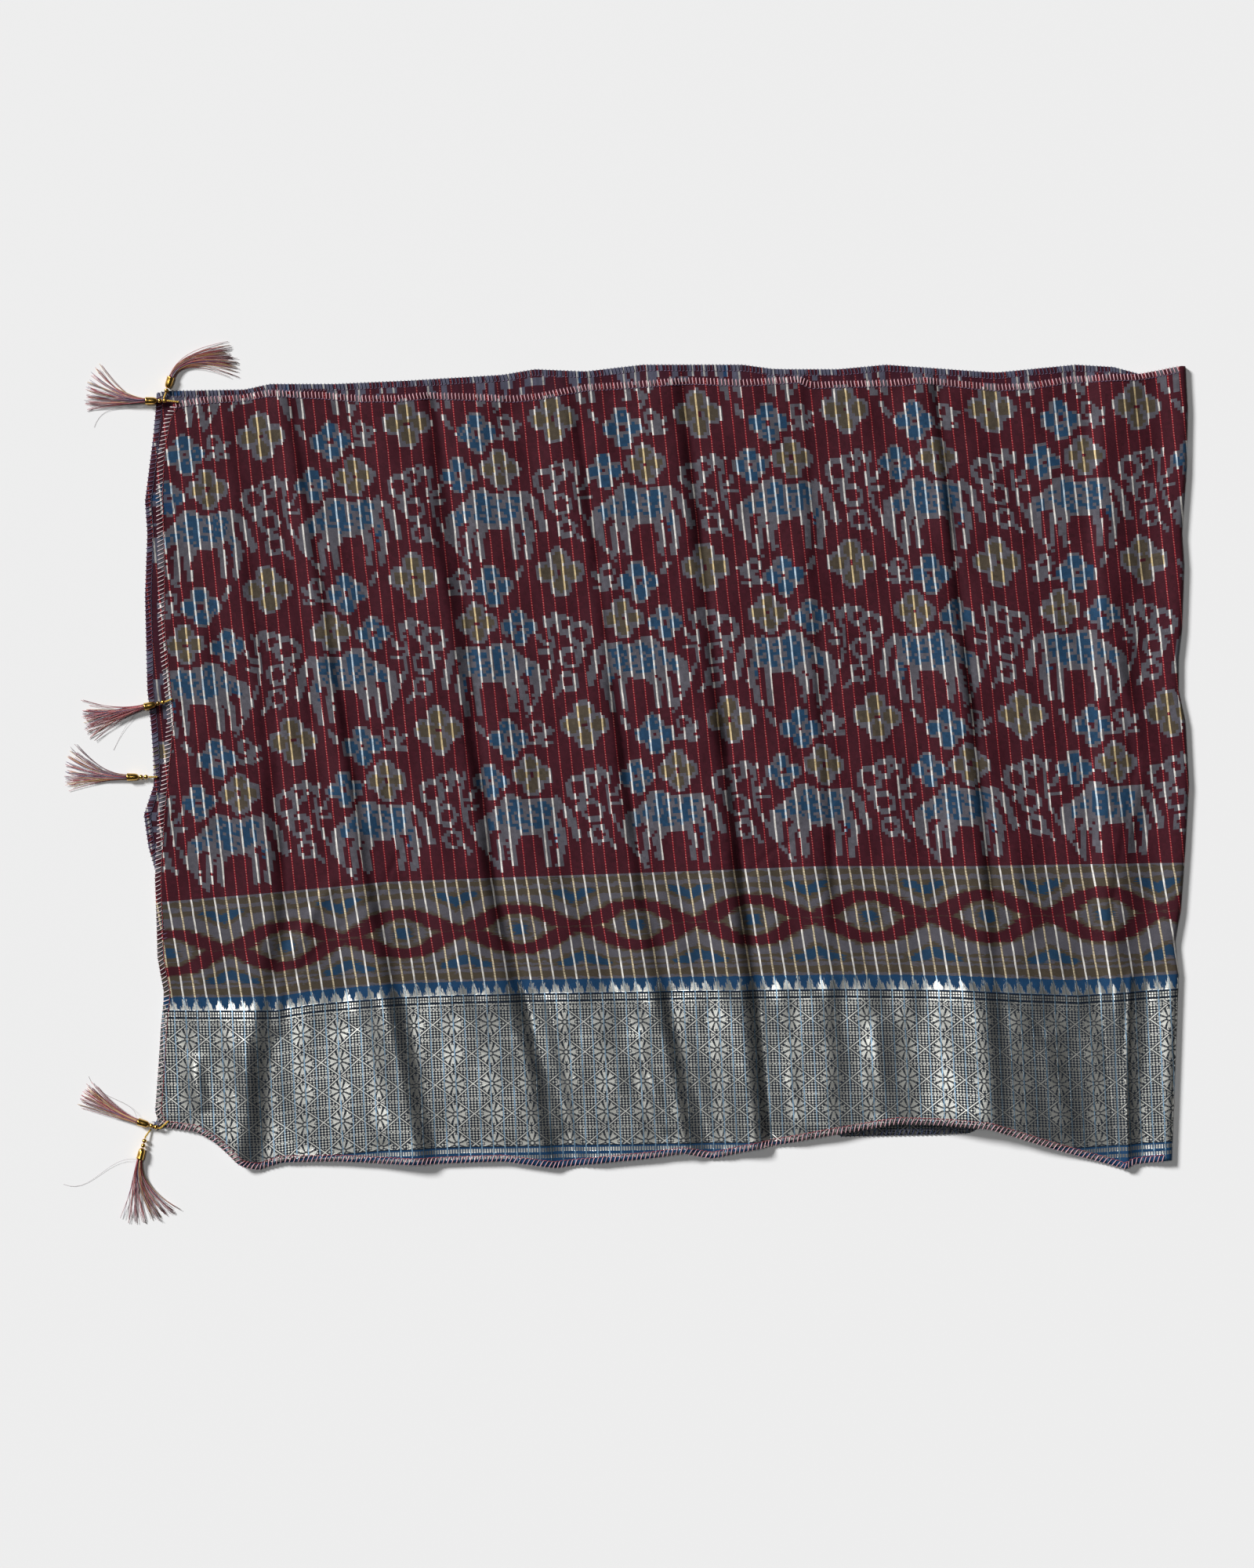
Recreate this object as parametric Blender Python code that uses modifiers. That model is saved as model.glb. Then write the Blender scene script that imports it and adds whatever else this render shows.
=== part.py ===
"""A printed silk stole with tasselled ends, folded once across its length and laid flat.

The cloth is one panel, folded in half with the fold on the right (+X) and both cut ends on
the left (-X). Its upper half is the wall front_half, which turns down round the fold. Its
lower half, back_half, is flat where it rests and fills the room under the folds of the wall.
Each cut end has three tassels: a thread loop, small gold beads strung tight, a gold cap and
a skirt of strands.

X runs along the stole, Y across it and Z up. The origin is the middle of the underside.
"""

import math

import bmesh
import bpy
from mathutils import Matrix, Vector

MM = 0.001

# Driving dimensions, in millimetres
CLOTH = 1.2
LAYER_GAP = 0.5
SEAT_GAP = 0.3
HEM_STRIP = 12.0
FOLD_RADIUS = 4.0
FOLD_SHOULDER = 24.0
FOLD_SHOULDER_RISE = 1.0
BAND_Y = -110.0
ROWS_BETWEEN_STRIPS = 18
ROWS = ROWS_BETWEEN_STRIPS + 3
WIDEST_COLUMN = 26.0
TUCKED_EDGE = 5.0

BEAD_RADIUS = 2.0
BEAD_SPACING = 4.3
BEAD_ANGLES = (-70, -35, 0, 35, 70)
BEAD_SIDES = 8
LOOP_RADIUS = 0.9
LOOP_STRAIGHT = 1.5
CAP_LENGTH = 10.0
HEAD_RADIUS = 2.7
HEAD_LENGTH = 1.2
HEAD_SIDES = 10
OUTER_ROOTS = 1.13
STRAND_PARTING = 0.12
STRAND_TIP_HEIGHT = 1.5
STRAND_TIP_SPREAD = 0.8
STRAND_KNEE = 0.38
STRAND_KNEE_HEIGHT = 0.55
STRAND_MIDDLE_WIDTH = 0.8
STRAND_TIP_WIDTH = 0.6
STRAND_LENGTH_STEP = 0.05

# Height of the cloth's top face where no fold lifts it
LOWER_TOP = CLOTH
UPPER_TOP = CLOTH + LAYER_GAP + CLOTH

# Edges of the upper half. Each row is one bend of the hem.
FRONT_TOP_HEM = [
    # x, y
    (-437, 322), (-409, 326), (-375, 328), (-354, 332), (-304, 330), (-273, 327),
    (-239, 327), (-212, 330), (-139, 327), (-115, 329), (-75, 337), (-19, 340),
    (17, 343), (64, 341), (114, 344), (124, 339), (195, 341), (224, 343),
    (286, 337), (314, 338), (350, 344), (409, 346), (453, 354),
]
FRONT_BOTTOM_HEM = [
    # x, y
    (-448, -315), (-417, -319), (-402, -328), (-388, -340), (-377, -350), (-362, -353),
    (-342, -346), (-292, -345), (-226, -348), (-146, -345), (-102, -351), (-14, -342),
    (12, -338), (37, -343), (67, -336), (141, -322), (200, -312), (242, -313),
    (279, -316), (348, -337), (400, -352), (408, -348), (441, -344),
]
FRONT_LEFT_HEM = [
    # y, x
    (-315, -448), (-302, -453), (-276, -451), (-228, -448), (-198, -445), (-166, -451),
    (-97, -453), (-41, -450), (21, -444), (46, -442), (74, -445), (127, -450),
    (188, -450), (241, -452), (279, -450), (309, -444), (322, -437),
]
FOLD_LINE = [
    # y, x
    (-344, 441), (-262, 444), (-179, 447), (-152, 444), (-124, 449), (-69, 453),
    (-14, 456), (41, 453), (69, 447), (97, 447), (124, 450), (179, 452),
    (207, 450), (262, 454), (317, 455), (354, 453),
]

# Edges of the lower half, where they show past the upper half
BACK_TOP_HEM = [
    # x, y
    (-452, 322), (-433, 332), (-375, 333), (-352, 338), (-295, 338), (-230, 341),
    (-148, 346), (-119, 351), (-75, 349), (-24, 355), (64, 355), (92, 351),
    (148, 351), (190, 355), (286, 348), (357, 355), (390, 353), (416, 346),
    (441, 345),
]
BACK_LEFT_HEM = [
    # y, x
    (-317, -457), (-306, -449), (-276, -446), (-228, -443), (-198, -440), (-166, -446),
    (-124, -447), (-97, -451), (-69, -459), (-41, -463), (-14, -454), (14, -455),
    (41, -457), (69, -460), (152, -462), (207, -460), (235, -462), (290, -455),
    (322, -452),
]
BACK_BOTTOM_SHOWS = [
    # x, y
    (-457, -317), (-440, -316), (-417, -314), (141, -317), (150, -324), (237, -322),
    (264, -321), (279, -312), (441, -339),
]
BACK_BOTTOM_TUCKED_FROM = -417
BACK_BOTTOM_TUCKED_TO = 141
BACK_BOTTOM_TUCKED_AGAIN = 279

# The lines that run across the cloth, one row for each crest, foot or hollow of a fold.
# A crease rises gently to its crest and falls steeply to the foot or hollow close on its right.
FOLD_ROWS = [
    # name, x at the top hem, x at the band, x at the bottom hem, rise at each of the three
    ("left_swell", -409, -404, -412, 0.8, 2.0, 2.6),
    ("first_crest", -394, -351, -382, 1.0, 5.0, 5.6),
    ("first_hollow", -382, -336, -358, 0.4, 0.3, 0.2),
    ("first_shoulder", -368, -314, -331, 0.8, 2.2, 2.6),
    ("second_rise", -356, -294, -268, 0.8, 1.4, 4.4),
    ("second_crest", -343, -269, -222, 3.0, 6.4, 9.0),
    ("second_foot", -330, -255, -202, 0.4, 0.6, 3.0),
    ("third_crest", -222, -165, -110, 4.2, 7.0, 4.6),
    ("third_hollow", -208, -151, -84, 0.2, 0.2, 0.2),
    ("third_shoulder", -184, -124, -60, 2.6, 3.0, 4.0),
    ("third_plateau", -140, -80, -8, 1.4, 1.6, 4.6),
    ("fourth_crest", -96, -34, 16, 3.4, 5.0, 6.4),
    ("fourth_hollow", -83, -21, 36, 0.4, 0.4, 0.4),
    ("fifth_rise", -58, 2, 52, 1.6, 2.0, 3.6),
    ("fifth_crest", -2, 53, 76, 5.0, 7.6, 8.0),
    ("fifth_foot", 12, 67, 92, 0.4, 0.6, 0.8),
    ("fifth_shoulder", 38, 90, 116, 1.8, 2.0, 4.4),
    ("sixth_crest", 111, 134, 142, 3.2, 4.4, 6.0),
    ("sixth_foot", 123, 146, 160, 1.0, 1.0, 5.4),
    ("seventh_rise", 188, 222, 210, 1.2, 1.6, 6.0),
    ("seventh_crest", 223, 272, 282, 5.0, 8.4, 14.0),
    ("seventh_foot", 237, 287, 300, 0.6, 2.8, 11.0),
    ("seventh_hollow", 304, 336, 386, 0.8, 0.6, 0.4),
    ("eighth_foot", 364, 368, 394, 0.6, 0.4, 0.4),
    ("eighth_crest", 380, 383, 402, 6.2, 7.2, 4.0),
]

# Where the left hem and the fold meet the three stations
LEFT_EDGE_X = (-437, -452, -448)
FOLD_EDGE_X = (453, 449, 441)
LEVEL = (0, 0, 0)

# Where the turned wall stands round the fold, as degrees above the level
FOLD_TURN_ANGLES = (90, 55, 20, -20, -70)
NOSE_TURN_ANGLES = (90, 55, 20, -20)
NOSE_SET_BACK = 2.6
NOSE_SLANT = 0.3
NOSE_TOLERANCE = 0.5

# A tassel hangs from the point where its loop leaves the hem. Its cap points along heading,
# its strands fan out round skirt, and both are degrees from +X towards +Y.
TASSELS = [
    dict(name="front_top", loop=(-432, 322, 4.3), start=(-442.1, 323), axis=5.0, beads=2,
         heading=180, skirt=168, spread=24, length=55),
    dict(name="back_top", loop=(-445.4, 325.3, 2.4), start=(-443.6, 329.9), axis=3.6, beads=1,
         heading=72, skirt=17, spread=15, length=60),
    dict(name="front_middle", loop=(-438, 61, 4.3), start=(-443.7, 58.6), axis=5.0, beads=2,
         heading=194, skirt=194, spread=18, length=57),
    dict(name="back_middle", loop=(-451, -7.6, 2.4), start=(-458.6, -7.6), axis=3.6, beads=2,
         heading=180, skirt=168, spread=23, length=56),
    dict(name="front_bottom", loop=(-441, -310, 4.3), start=(-449.7, -316), axis=5.0, beads=2,
         heading=163, skirt=152, spread=14, length=56),
    dict(name="back_bottom", loop=(-457.0, -317.5, 1.3), start=(-461.8, -325.3), axis=3.6,
         beads=2, heading=256, skirt=281, spread=25, length=58),
]

# Half section of a cap, from its thread hole to its mouth
CAP_PROFILE = [
    # radius, distance from the thread hole
    (0.0, 0.0), (1.5, 0.0), (2.5, 1.1), (3.1, 3.4), (3.3, CAP_LENGTH), (0.0, CAP_LENGTH),
]
CAP_SIDES = 10

# Colours, roughness and metal of each material
FINISHES = {
    # name: (red, green, blue), roughness, metallic
    "printed_silk": ((0.075, 0.012, 0.022), 0.55, 0.0),
    "printed_silk_reverse": ((0.045, 0.012, 0.028), 0.65, 0.0),
    "gold": ((0.83, 0.60, 0.22), 0.25, 1.0),
    "loop_thread": ((0.62, 0.42, 0.08), 0.7, 0.0),
    "skirt_thread": ((0.34, 0.06, 0.09), 0.6, 0.0),
}


def clear_scene():
    for item in list(bpy.data.objects):
        bpy.data.objects.remove(item, do_unlink=True)


def make_material(name):
    colour, roughness, metallic = FINISHES[name]
    material = bpy.data.materials.new(name)
    material.use_nodes = True
    shader = material.node_tree.nodes["Principled BSDF"]
    shader.inputs["Base Color"].default_value = (*colour, 1.0)
    shader.inputs["Roughness"].default_value = roughness
    shader.inputs["Metallic"].default_value = metallic
    return material


def along(table, place):
    """Read the second column of a two-column table where its first column is at place."""
    if place <= table[0][0]:
        return table[0][1]
    for (here, value), (there, next_value) in zip(table, table[1:]):
        if place <= there:
            part = (place - here) / (there - here)
            return value + part * (next_value - value)
    return table[-1][1]


def ease(part):
    """Turn an even step into one that starts and ends level, as a soft fold does."""
    return 0.5 - 0.5 * math.cos(math.pi * part)


class Rib:
    """One line across the cloth, with its places and rises at the three stations."""

    def __init__(self, top_x, band_x, hem_x, top_rise, band_rise, hem_rise):
        self.places = (hem_x, band_x, top_x)
        self.rises = (hem_rise, band_rise, top_rise)
        self.hem_y = along(FRONT_BOTTOM_HEM, hem_x)
        self.top_y = along(FRONT_TOP_HEM, top_x)

    def between(self, values, y):
        hem, band, top = values
        if y < BAND_Y:
            return hem + (band - hem) * (y - self.hem_y) / (BAND_Y - self.hem_y)
        return band + (top - band) * (y - BAND_Y) / (self.top_y - BAND_Y)

    def mixed(self, other, part):
        """A rib that lies part of the way to the next one, on the soft slope between them."""
        places = [a + part * (b - a) for a, b in zip(self.places, other.places)]
        rises = [a + ease(part) * (b - a) for a, b in zip(self.rises, other.rises)]
        return Rib(places[2], places[1], places[0], rises[2], rises[1], rises[0])


def row_height(rib, row):
    """The y of a row on a rib: the hem, the strip inside it, then even steps between strips."""
    if row == 0:
        return rib.hem_y
    if row == ROWS - 1:
        return rib.top_y
    low = rib.hem_y + HEM_STRIP
    high = rib.top_y - HEM_STRIP
    return low + (high - low) * (row - 1) / ROWS_BETWEEN_STRIPS


def level_row(row):
    """The hem strip lies level, so its outer row takes the rise of the row inside it."""
    return min(max(row, 1), ROWS - 2)


def rib_point(rib, row):
    y = row_height(rib, row)
    x = rib.between(rib.places, y)
    rise = rib.between(rib.rises, row_height(rib, level_row(row)))
    return Vector((x, y, UPPER_TOP + rise))


def hem_height(rib, row, x):
    """The y of a row, which follows the front hems where it is the first or the last one."""
    if row == 0:
        return along(FRONT_BOTTOM_HEM, x)
    if row == ROWS - 1:
        return along(FRONT_TOP_HEM, x)
    return row_height(rib, row)


def left_columns():
    """The left hem and the line inside it, both level."""
    edge = Rib(*LEFT_EDGE_X, *LEVEL)
    hem = []
    inside = []
    for row in range(ROWS):
        y = row_height(edge, row)
        x = along(FRONT_LEFT_HEM, y)
        hem.append(Vector((x, y, UPPER_TOP)))
        inside_x = x + HEM_STRIP
        inside.append(Vector((inside_x, hem_height(edge, row, inside_x), UPPER_TOP)))
    return [hem, inside]


def fold_columns():
    """The shoulder of the fold, and the wall's turn round it down to the floor."""
    edge = Rib(*FOLD_EDGE_X, *LEVEL)
    centres = []
    for row in range(ROWS):
        y = row_height(edge, row)
        centres.append(Vector((along(FOLD_LINE, y) - FOLD_RADIUS, y, FOLD_RADIUS)))
    shoulder = []
    slope = []
    for row, centre in enumerate(centres):
        x = centre.x - FOLD_SHOULDER
        start = Vector((x, hem_height(edge, row, x), UPPER_TOP + FOLD_SHOULDER_RISE))
        crest = centre + Vector((0, 0, FOLD_RADIUS))
        shoulder.append(start)
        slope.append(start.lerp(crest, 0.5))
    columns = [shoulder, slope]
    for angle in FOLD_TURN_ANGLES:
        turn = math.radians(angle)
        reach = Vector((FOLD_RADIUS * math.cos(turn), 0, FOLD_RADIUS * math.sin(turn)))
        columns.append([centre + reach for centre in centres])
    return columns


def middle_columns():
    """A column on each rib, and evenly spaced ones between ribs that lie far apart."""
    ribs = [Rib(*row[1:]) for row in FOLD_ROWS]
    columns = []
    for rib, following in zip(ribs, ribs[1:] + [None]):
        columns.append([rib_point(rib, row) for row in range(ROWS)])
        if following is None:
            continue
        gap = following.places[1] - rib.places[1]
        pieces = math.ceil(gap / WIDEST_COLUMN)
        for step in range(1, pieces):
            between = rib.mixed(following, step / pieces)
            columns.append([rib_point(between, row) for row in range(ROWS)])
    return columns


def front_grid():
    return left_columns() + middle_columns() + fold_columns()


def back_bottom(x):
    """The lower half's bottom hem, tucked under the upper one but for where it shows."""
    tucked = along(FRONT_BOTTOM_HEM, x) + TUCKED_EDGE
    if x < BACK_BOTTOM_TUCKED_FROM:
        return along(BACK_BOTTOM_SHOWS, x)
    if x < BACK_BOTTOM_TUCKED_TO:
        return tucked
    if x < BACK_BOTTOM_TUCKED_AGAIN:
        return along(BACK_BOTTOM_SHOWS, x)
    return tucked


def back_grid(front):
    """The upper half's points moved down by its wall and a gap, with the lower half's hems."""
    drop = Vector((0, 0, CLOTH + LAYER_GAP))
    keep = len(front) - len(FOLD_TURN_ANGLES)
    columns = [[point - drop for point in column] for column in front[:keep]]
    radius = FOLD_RADIUS - CLOTH - LAYER_GAP
    crest_column = front[keep]
    for angle in NOSE_TURN_ANGLES:
        turn = math.radians(angle)
        column = []
        for crest in crest_column:
            x = crest.x + radius * math.cos(turn)
            column.append(Vector((x, crest.y, FOLD_RADIUS + radius * math.sin(turn))))
        columns.append(column)
    for column in columns:
        column[0].y = back_bottom(column[0].x)
        column[-1].y = along(BACK_TOP_HEM, column[-1].x)
        shows = column[-1].x < BACK_TOP_HEM[-2][0]
        if shows:
            column[0].z = LOWER_TOP
            column[-1].z = LOWER_TOP
    for point in columns[0]:
        point.x = along(BACK_LEFT_HEM, point.y)
        point.z = LOWER_TOP
    columns[0][0].x, columns[0][0].y = BACK_BOTTOM_SHOWS[0]
    columns[0][-1].x, columns[0][-1].y = BACK_TOP_HEM[0]
    return columns


def sheet_object(name, columns, material):
    """A grid whose points take the places of the columns, as one open sheet."""
    across = len(columns)
    up = len(columns[0])
    bpy.ops.mesh.primitive_grid_add(x_subdivisions=across - 1, y_subdivisions=up - 1, size=1)
    sheet = bpy.context.active_object
    sheet.name = name
    sheet.data.name = name
    for index, vertex in enumerate(sheet.data.vertices):
        row, column = divmod(index, across)
        vertex.co = columns[column][row] * MM
    sheet.data.materials.append(material)
    sheet.data.shade_smooth()
    return sheet


def split_quads(sheet):
    """Split each quad along the same diagonal, so that stacked sheets stay parallel."""
    mesh = bmesh.new()
    mesh.from_mesh(sheet.data)
    bmesh.ops.triangulate(mesh, faces=mesh.faces, quad_method="FIXED")
    mesh.to_mesh(sheet.data)
    mesh.free()


def build_front_half(columns, material):
    sheet = sheet_object("front_half", columns, material)
    split_quads(sheet)
    wall = sheet.modifiers.new("wall", "SOLIDIFY")
    wall.thickness = CLOTH * MM
    wall.offset = -1.0
    wall.use_even_offset = True
    return sheet


def build_back_half(columns, material):
    """The lower sheet, with its edges taken down to the floor and one flat underside."""
    sheet = sheet_object("back_half", columns, material)
    split_quads(sheet)
    mesh = bmesh.new()
    mesh.from_mesh(sheet.data)
    rim = [edge for edge in mesh.edges if edge.is_boundary]
    made = bmesh.ops.extrude_edge_only(mesh, edges=rim)["geom"]
    for part in made:
        if not isinstance(part, bmesh.types.BMVert):
            continue
        centre_x = along(FOLD_LINE, part.co.y / MM) - FOLD_RADIUS
        if part.co.x / MM > centre_x - NOSE_TOLERANCE:
            below_crest = 2 * FOLD_RADIUS - part.co.z / MM
            part.co.x = (centre_x - NOSE_SET_BACK + NOSE_SLANT * below_crest) * MM
        part.co.z = 0.0
    underside_rim = [edge for edge in mesh.edges if edge.is_boundary]
    bmesh.ops.contextual_create(mesh, geom=underside_rim)
    bmesh.ops.recalc_face_normals(mesh, faces=mesh.faces)
    mesh.to_mesh(sheet.data)
    mesh.free()
    return sheet


def heading_vector(degrees):
    turn = math.radians(degrees)
    return Vector((math.cos(turn), math.sin(turn), 0.0))


def chain_matrix(place, heading):
    """Set a piece's own +Z along the heading, its +Y up and its +X to the right of it."""
    forward = heading_vector(heading)
    upward = Vector((0, 0, 1))
    right = upward.cross(forward)
    turn = Matrix((right, upward, forward)).transposed()
    if turn.determinant() < 0:
        turn = Matrix((-right, upward, forward)).transposed()
    return Matrix.Translation(place * MM) @ turn.to_4x4()


def mesh_object(name, mesh, material):
    data = bpy.data.meshes.new(name)
    mesh.to_mesh(data)
    mesh.free()
    data.materials.append(material)
    data.shade_smooth()
    item = bpy.data.objects.new(name, data)
    bpy.context.scene.collection.objects.link(item)
    return item


def build_loop(name, points, material):
    """The thread loop from the hem to the first bead, as a plain tube."""
    curve = bpy.data.curves.new(name, "CURVE")
    curve.dimensions = "3D"
    curve.bevel_depth = LOOP_RADIUS * MM
    curve.bevel_resolution = 2
    curve.render_resolution_u = 0
    curve.use_fill_caps = True
    line = curve.splines.new("POLY")
    line.points.add(len(points) - 1)
    for slot, point in zip(line.points, points):
        slot.co = (*(point * MM), 1.0)
    curve.materials.append(material)
    item = bpy.data.objects.new(name, curve)
    bpy.context.scene.collection.objects.link(item)
    return item


def build_turned(name, profile, sides, place, heading, material):
    """Spin a profile round the heading. It runs from its far end back to the thread hole."""
    data = bpy.data.meshes.new(name)
    points = [(radius * MM, 0.0, distance * MM) for radius, distance in reversed(profile)]
    edges = [(index, index + 1) for index in range(len(points) - 1)]
    data.from_pydata(points, edges, [])
    data.materials.append(material)
    item = bpy.data.objects.new(name, data)
    bpy.context.scene.collection.objects.link(item)
    turned = item.modifiers.new("turned", "SCREW")
    turned.steps = sides
    turned.render_steps = sides
    turned.use_merge_vertices = True
    turned.merge_threshold = 0.00005
    turned.use_smooth_shade = True
    item.matrix_world = chain_matrix(place, heading)
    return item


def bead_profile(count):
    """Half section of beads strung tight, with the thread as a thin neck between them."""
    profile = [(0.0, 0.0)]
    for number in range(count):
        centre = BEAD_RADIUS + number * BEAD_SPACING
        for angle in BEAD_ANGLES:
            turn = math.radians(angle)
            profile.append((BEAD_RADIUS * math.cos(turn), centre + BEAD_RADIUS * math.sin(turn)))
    end = 2 * BEAD_RADIUS + (count - 1) * BEAD_SPACING
    return profile + [(0.0, end)]


def strand_faces(mesh):
    """Part the head's free end into an outer ring of quads and an inner ring of triangles."""
    end = max(mesh.faces, key=lambda face: face.calc_center_median().z)
    ring = bmesh.ops.inset_region(mesh, faces=[end], thickness=OUTER_ROOTS * MM)["faces"]
    wedges = bmesh.ops.poke(mesh, faces=[end])["faces"]
    roots = list(ring) + list(wedges)
    bmesh.ops.inset_individual(mesh, faces=roots, thickness=STRAND_PARTING * MM)
    return roots


def build_strands(name, place, tassel, material):
    """A short round head with its strands drawn out of the face that looks along the cap."""
    mesh = bmesh.new()
    radius = HEAD_RADIUS * MM
    bmesh.ops.create_cone(mesh, cap_ends=True, segments=HEAD_SIDES, radius1=radius,
                          radius2=radius, depth=HEAD_LENGTH * MM)
    bmesh.ops.translate(mesh, verts=mesh.verts, vec=(0, 0, 0.5 * HEAD_LENGTH * MM))
    roots = strand_faces(mesh)
    matrix = chain_matrix(place, tassel["heading"])
    bmesh.ops.transform(mesh, matrix=matrix, verts=mesh.verts)
    forward = heading_vector(tassel["heading"])
    leftward = Vector((0, 0, 1)).cross(forward)
    axis_point = place * MM
    roots.sort(key=lambda face: (face.calc_center_median() - axis_point).dot(leftward))
    grown = bmesh.ops.extrude_discrete_faces(mesh, faces=roots)["faces"]
    count = len(grown)
    for index, face in enumerate(grown):
        centre = face.calc_center_median()
        side = 2.0 * index / (count - 1) - 1.0
        uneven = 1.0 - STRAND_LENGTH_STEP * (index % 3)
        aim = heading_vector(tassel["skirt"] + side * tassel["spread"])
        length = tassel["length"] * MM * uneven
        tip = axis_point + aim * length
        lift = (centre.z - axis_point.z) / radius
        tip.z = (STRAND_TIP_HEIGHT + STRAND_TIP_SPREAD * lift) * MM
        knee = centre + forward * STRAND_KNEE * length
        knee.z = tip.z + (centre.z - tip.z) * STRAND_KNEE_HEIGHT
        middle = centre.lerp(knee, 0.5).lerp(knee.lerp(tip, 0.5), 0.5)
        shape = [(vertex.co - centre) for vertex in face.verts]
        for vertex, offset in zip(face.verts, shape):
            vertex.co = middle + offset * STRAND_MIDDLE_WIDTH
        ended = bmesh.ops.extrude_discrete_faces(mesh, faces=[face])["faces"][0]
        for vertex, offset in zip(ended.verts, shape):
            vertex.co = tip + offset * STRAND_TIP_WIDTH
    bmesh.ops.recalc_face_normals(mesh, faces=mesh.faces)
    return mesh_object(name, mesh, material)


def build_tassel(tassel, materials):
    """Thread loop, beads, cap and strands, one behind the other along the heading."""
    name = tassel["name"] + "_tassel"
    forward = heading_vector(tassel["heading"])
    start = Vector((*tassel["start"], tassel["axis"]))
    loop = [Vector(tassel["loop"]), start - forward * LOOP_STRAIGHT, start]
    made = [build_loop(name + "_loop", loop, materials["loop_thread"])]
    beads = bead_profile(tassel["beads"])
    first = start + forward * SEAT_GAP
    made.append(build_turned(name + "_beads", beads, BEAD_SIDES, first, tassel["heading"],
                             materials["gold"]))
    place = first + forward * (beads[-1][1] + SEAT_GAP)
    made.append(build_turned(name + "_cap", CAP_PROFILE, CAP_SIDES, place, tassel["heading"],
                             materials["gold"]))
    mouth = place + forward * (CAP_LENGTH + SEAT_GAP)
    made.append(build_strands(name + "_strands", mouth, tassel, materials["skirt_thread"]))
    return made


def gather(name, items):
    collection = bpy.data.collections.new(name)
    bpy.context.scene.collection.children.link(collection)
    for item in items:
        for holder in list(item.users_collection):
            holder.objects.unlink(item)
        collection.objects.link(item)


def main():
    clear_scene()
    materials = {name: make_material(name) for name in FINISHES}
    upper = front_grid()
    pieces = [
        build_front_half(upper, materials["printed_silk"]),
        build_back_half(back_grid(upper), materials["printed_silk_reverse"]),
    ]
    for tassel in TASSELS:
        pieces += build_tassel(tassel, materials)
    gather("folded_silk_stole", pieces)


main()
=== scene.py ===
# %% [markdown]
# A folded silk stole, seen from straight above
#
# The object is one long panel of thin printed silk, folded once in half and laid on a table.
# Metallic yarns run across it every centimetre, its lower edge has a wide woven border, and
# each cut end carries three tassels. This lesson dresses the plain solids of the stole: the
# two halves of the cloth become fine sheets with a print, and the tassels get real threads.

# %% Start from the frame
import math

import bmesh
import bpy
import numpy as np
from mathutils import Matrix, Vector


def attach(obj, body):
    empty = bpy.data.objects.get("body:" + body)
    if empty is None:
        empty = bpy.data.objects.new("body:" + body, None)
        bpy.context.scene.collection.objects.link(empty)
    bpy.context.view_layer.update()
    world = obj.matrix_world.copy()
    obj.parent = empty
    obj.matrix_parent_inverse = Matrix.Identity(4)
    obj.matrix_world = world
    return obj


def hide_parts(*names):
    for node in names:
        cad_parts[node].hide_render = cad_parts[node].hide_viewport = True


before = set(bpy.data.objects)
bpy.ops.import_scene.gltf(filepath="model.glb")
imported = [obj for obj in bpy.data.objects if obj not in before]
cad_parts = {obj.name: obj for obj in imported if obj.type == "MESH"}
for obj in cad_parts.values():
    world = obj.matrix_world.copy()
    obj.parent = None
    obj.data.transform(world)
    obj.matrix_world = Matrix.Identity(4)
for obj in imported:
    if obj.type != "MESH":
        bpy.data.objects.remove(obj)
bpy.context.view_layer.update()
MM = 0.001
rng = np.random.default_rng(11)
print("nodes in the frame:", len(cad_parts))

# %% [markdown]
# The camera
#
# A photograph taken straight down keeps its angles, so the camera looks down the Z axis with
# +Y up in the picture. One picture element stands for 0.69 mm of table, and the stole's own
# origin lies a little right of the picture's middle.

# %% Camera
PICTURE_HIGH = 2000
PIXEL = 0.69 * MM
ORIGIN_PIXEL = (855, 980)
CENTRE_PIXEL = (800, 1000)
SENSOR = 36.0
LENS = 85.0


def aim_camera():
    """Hang the camera straight above the middle of the picture."""
    centre_x = (CENTRE_PIXEL[0] - ORIGIN_PIXEL[0]) * PIXEL
    centre_y = (ORIGIN_PIXEL[1] - CENTRE_PIXEL[1]) * PIXEL
    height = PICTURE_HIGH * PIXEL * LENS / SENSOR
    data = bpy.data.cameras.new("overhead")
    data.lens = LENS
    data.sensor_width = SENSOR
    camera = bpy.data.objects.new("overhead", data)
    camera.location = (centre_x, centre_y, height)
    bpy.context.scene.collection.objects.link(camera)
    bpy.context.scene.camera = camera
    print("camera %.2f m above the table" % height)


aim_camera()

# %% [markdown]
# Colours and numbers in nodes
#
# Colours are easiest to judge as the 0 to 255 values that a screen shows, while Blender's
# shaders work with linear light, so one helper converts them. A second helper wraps a node
# socket so that ordinary arithmetic builds the Math nodes of a pattern. Patterns could also
# be wired by hand in the editor, but as arithmetic they can be read and changed.


# %% Colours and numbers in nodes
def screen_colour(red, green, blue):
    """Turn screen values from 0 to 255 into linear light."""
    values = np.array([red, green, blue]) / 255.0
    return tuple(np.where(values <= 0.04045, values / 12.92, ((values + 0.055) / 1.055) ** 2.4))


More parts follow.
